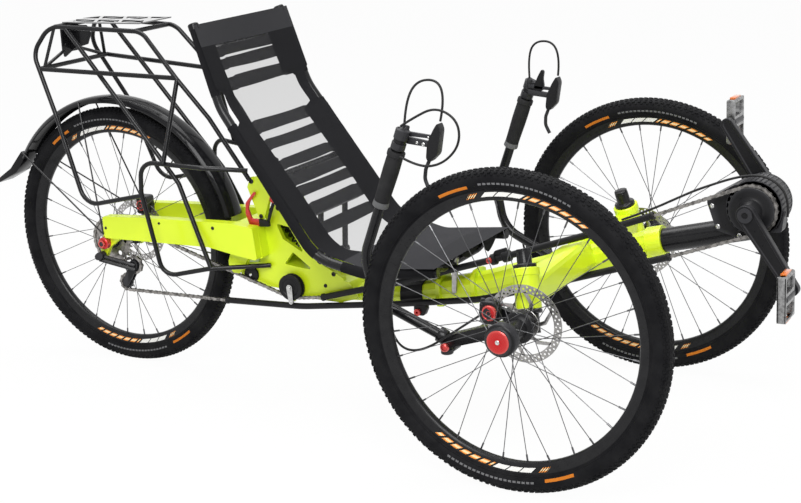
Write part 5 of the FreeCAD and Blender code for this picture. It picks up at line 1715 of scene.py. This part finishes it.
reservoir = lathe("reservoir", ((0.0, -12.0), (6.2, -12.0), (7.4, -10.0), (7.4, 10.0), (6.2, 12.0), (0.0, 12.0)),
                  at(-262.0, -304.0, 694.0), (0.25, 0.2, 1.0), 28)
lever = joined("lever", clamp, bar_end, body, link_low, link_high, blade, reservoir)
both_sides(lever, "brake_lever_detailed", black_anodised, "black_anodised", "brake_lever")
screws = [bolt_along_y("bolt", x, -304.5, z, r, -1, 1.8) for x, z, r in ((-222, 668.5, 4.4), (-236, 671.5, 3.4),
                                                                        (-210, 683.0, 2.8))]
both_sides(joined("screws", *screws), "lever_screws", bright_steel, "bare_steel")
PADDLE = ((-249, 676), (-245, 694), (-236, 713), (-227, 728), (-221, 724), (-224, 706), (-222, 690), (-226, 678))
paddle = plate("left_shift_paddle", PADDLE, 294.0, 303.0, corner=3.0, edge=2.0, segments=3)
settle(paddle, "left_steering", gloss_plastic, "black_plastic")

# %% [markdown]
# ### Brakes and track rod
#
# The callipers sit astride the discs, each with a red adjuster.  The track rod has a ball joint at each
# end, under the steering arms.

# %% Brake callipers
def adjuster(x, y, z, radius, out):
    """A ribbed red knob with a socket in its middle, on a face at y that looks to out."""
    profile = ((0.0, 1.5), (2.6, 1.5), (3.2, 6.6), (5.0, 7.4), (6.0, 6.2), (radius * 0.72, 6.2),
               (radius * 0.8, 7.4), (radius * 0.96, 7.0), (radius, 5.8), (radius, 0.6), (radius * 0.9, 0.0),
               (0.0, 0.0))
    knob = lathe("knob", [(r, a * out) for r, a in profile], at(x, y, z), steps=48)
    notch = lathe("rib", ((0.0, 0.8), (0.9, 0.8), (0.9, 5.6), (0.0, 5.6)), at(x + radius, y, z),
                  (0.0, float(out), 0.0), 8)
    ring_of(notch, 24, at(x, y, z))
    return joined("knob", knob, notch)


calliper = joined("calliper", refined("right_brake_calliper", "calliper", 2.4, 3, 30.0),
                  bolt_along_y("bolt", -84.0, -350.0, 362.0, 3.4, -1, 2.4),
                  bolt_along_y("bolt", -84.0, -350.0, 331.0, 3.4, -1, 2.4),
                  tube("banjo", ((-86, -338, 372), (-92, -338, 340)), 4.2, sides=16))
both_sides(calliper, "brake_calliper_detailed", black_anodised, "black_anodised", "brake_calliper")
both_sides(adjuster(-66.0, -350.0, 348.0, 15.4, -1), "brake_adjuster", red_anodised, "red_anodised")
part = refined("rear_brake_calliper", "rear_brake_calliper_detailed", 2.4, 3, 30.0)
settle(part, "frame", black_anodised, "black_anodised", "rear_brake_calliper", weighted=True)
part = joined("rear_brake_adjuster", adjuster(-1222.0, 38.0, 397.0, 13.0, -1))
settle(part, "frame", red_anodised, "red_anodised")

# %% Track rod
TIE_END = (-191.0, -300.0, 238.0)
rod = tube("rod", ((TIE_END[0], -289.0, TIE_END[2]), (TIE_END[0], 289.0, TIE_END[2])), 6.0, sides=24)
ends = []
for hand, hole in ((-1, 5.6), (1, 9.0)):
    eye = ((hole, -5.5), (11.6, -5.5), (13.0, -4.2), (13.0, 4.2), (11.6, 5.5), (hole, 5.5))
    ends.append(lathe("eye", eye, at(TIE_END[0], -hand * TIE_END[1], TIE_END[2]), (0.0, 0.0, 1.0), 40,
                      closed=True))
    ends.append(lathe("sleeve", ((6.0, 0.0), (8.4, 0.0), (8.8, 0.8), (8.8, 30.0), (7.4, 31.6), (6.0, 31.6)),
                      at(TIE_END[0], hand * 252.0, TIE_END[2]), (0.0, float(hand), 0.0), 32, closed=True))
part = joined("tie_rod_detailed", rod, *ends)
settle(part, "track_rod", black_anodised, "black_anodised", "tie_rod")
CAP = ((0.0, 8.4), (4.0, 8.4), (7.6, 6.8), (9.6, 3.6), (9.6, 0.0), (0.0, 0.0))
cap = lathe("cap", [(r, -a) for r, a in CAP], at(TIE_END[0] + 3.0, -315.0, 251.0), steps=36)
both_sides(cap, "arm_cap", red_anodised, "red_anodised")

# %% [markdown]
# ## Small red parts
#
# Cap nuts close the rear axle, a quick-release lever with its strap holds the seat's link, and a few
# knobs sit on the clamps of the frame.

# %% Rear axle
AXLE_CAP = ((0.0, 79.2), (15.4, 79.2), (15.4, 90.0), (13.6, 93.0), (10.0, 94.4), (9.4, 99.0), (6.0, 99.6),
            (5.4, 97.0), (0.0, 97.0))
AXLE_TIP = ((0.0, -100.4), (4.4, -100.4), (5.2, -99.6), (5.2, -96.0), (0.0, -96.0))
rear_middle = at(-WHEELBASE, 0.0, AXLE_Z)
for hand, name in ((-1, "right"), (1, "left")):
    cap = lathe("cap", [(r, hand * y) for r, y in AXLE_CAP], rear_middle, steps=48)
    cap.name = f"{name}_axle_nut"
    settle(cap, "frame", red_anodised, "red_anodised")
bar = tube("rear_axle_detailed", ((-WHEELBASE, -79.0, AXLE_Z), (-WHEELBASE, 79.0, AXLE_Z)), 6.0, sides=32)
settle(bar, "frame", bright_steel, "bare_steel", "rear_axle")
tip = lathe("axle_tip", AXLE_TIP, rear_middle, steps=32)
settle(tip, "frame", black_anodised, "black_anodised")

# %% Seat release
lever = plate("lever", ((-808, 481), (-803, 476), (-822, 455), (-827, 438), (-819, 415), (-790, 415), (-790, 398),
                        (-826, 398), (-836, 425), (-834, 452)), -62.0, -56.0, corner=3.0, edge=1.4)
pivot = adjuster(-757.0, -54.0, 465.0, 8.6, -1)
settle(joined("seat_release", lever, pivot), "frame", red_anodised, "red_anodised")
webbing = plate("strap", ((-782, 403), (-775, 400), (-752, 458), (-759, 461)), -61.0, -57.0, edge=0.8)
buckle = plate("buckle", ((-799, 416), (-772, 412), (-770, 399), (-799, 397)), -63.0, -54.5, corner=2.0, edge=1.2)
settle(joined("seat_release_strap", webbing, buckle), "frame", black_plastic, "black_plastic")

# %% Frame clamps
latch = joined("fold_latch", strip("latch", (-298.0, 352.0, 7.0), (-303.0, 282.0, 5.5), -43.0, -37.0, edge=1.2),
               lathe("pin", ((0.0, 0.0), (7.5, 0.0), (8.5, 1.2), (8.5, 9.0), (6.5, 12.0), (0.0, 12.6)),
                     at(-298.0, -40.0, 350.0), (0.0, 0.0, 1.0), 32))
settle(latch, "frame", disc_steel, "bare_steel")
knobs = joined("clamp_knobs", adjuster(-389.0, -56.0, 229.0, 7.6, -1), adjuster(-414.0, -52.0, 313.0, 7.6, -1),
               adjuster(-203.0, -60.5, 367.0, 6.0, -1))
settle(knobs, "frame", red_anodised, "red_anodised")
rings = []
for x, wide in ((-197.0, 6.0), (-166.0, 9.0)):
    profile = ((7.6, -wide), (11.4, -wide), (12.4, 1 - wide), (12.4, wide - 1), (11.4, wide), (7.6, wide))
    rings.append(lathe("ring", profile, at(x, CHAIN_Y, 373.0 + (x + 179.0) * 0.3125), (256.0, 0.0, 80.0), 32,
                       closed=True))
holders = [plate("holder", outline, low, high, corner, edge) for outline, low, high, corner, edge in
           ((((-200, 374), (-163, 386), (-168, 396), (-194, 387)), -56.0, -48.0, 2.0, 1.2),
            (((-399, 254), (-374, 257), (-366, 238), (-374, 221), (-400, 220)), -57.0, -42.0, 4.0, 1.4),
            (((-424, 304), (-404, 306), (-402, 322), (-422, 322)), -51.0, -28.0, 3.0, 1.4))]
holder = joined("chain_tube_clamps", *rings, *holders)
settle(holder, "frame", black_plastic, "black_plastic")

# %% [markdown]
# ## Floor and light
#
# The trike stands on a white floor that runs into a white background.  The camera sees plain white
# there, and so do the rays that metal and gloss mirror; only the trike's own soft shadow darkens it.
# For the light that falls on the trike the room is dimmer, so that two large lamps give it its shape.

# %% Floor
def seen(stage):
    """1 for rays from the camera, through cloth or off gloss, and 0 for the light on the trike."""
    rays = node(stage, "ShaderNodeLightPath").outputs
    either = maths(stage, "MAXIMUM", rays["Is Camera Ray"], rays["Is Transmission Ray"])
    return maths(stage, "MAXIMUM", either, rays["Is Glossy Ray"])


bpy.ops.object.select_all(action="DESELECT")
bpy.ops.mesh.primitive_plane_add(size=60.0)
floor = bpy.context.object
floor.name = "floor"
floor_white = new_finish("floor_white", (0.82, 0.82, 0.82), 0.9)
FLOOR_GLOW = 0.965                       # the rest is the floor's own grey, which takes the shadow
glow = node(floor_white, "ShaderNodeEmission", Strength=1.0)
blend = node(floor_white, "ShaderNodeMixShader")
link(floor_white, maths(floor_white, "MULTIPLY", seen(floor_white), FLOOR_GLOW), blend.inputs[0])
link(floor_white, shader_of(floor_white).outputs[0], blend.inputs[1])
link(floor_white, glow.outputs[0], blend.inputs[2])
link(floor_white, blend.outputs[0], floor_white.node_tree.nodes["Material Output"].inputs["Surface"])
floor.data.materials.append(floor_white)

# %% World and lamps
world = bpy.context.scene.world or bpy.data.worlds.new("studio")
bpy.context.scene.world = world
world.use_nodes = True
sky = world.node_tree.nodes["Background"]
sky.inputs["Color"].default_value = (1.0, 1.0, 1.0, 1.0)
ROOM_LIGHT = 0.33
link(world, spread(world, seen(world), ROOM_LIGHT, 1.0, 0.0, 1.0), sky.inputs["Strength"])


def lamp(name, place, target, size, watts):
    light = bpy.data.lights.new(name, "AREA")
    light.size = size
    light.energy = watts
    holder = bpy.data.objects.new(name, light)
    bpy.context.scene.collection.objects.link(holder)
    holder.location = place
    holder.rotation_euler = (Vector(target) - Vector(place)).to_track_quat("-Z", "Y").to_euler()


lamp("key_lamp", (1.6, -3.4, 3.6), (0.0, 0.0, 0.3), 2.6, 200.0)
lamp("top_lamp", (-0.6, 0.6, 4.4), (0.0, 0.0, 0.3), 3.2, 150.0)
bpy.context.scene.view_settings.view_transform = "Standard"
print("floor, world and two lamps")
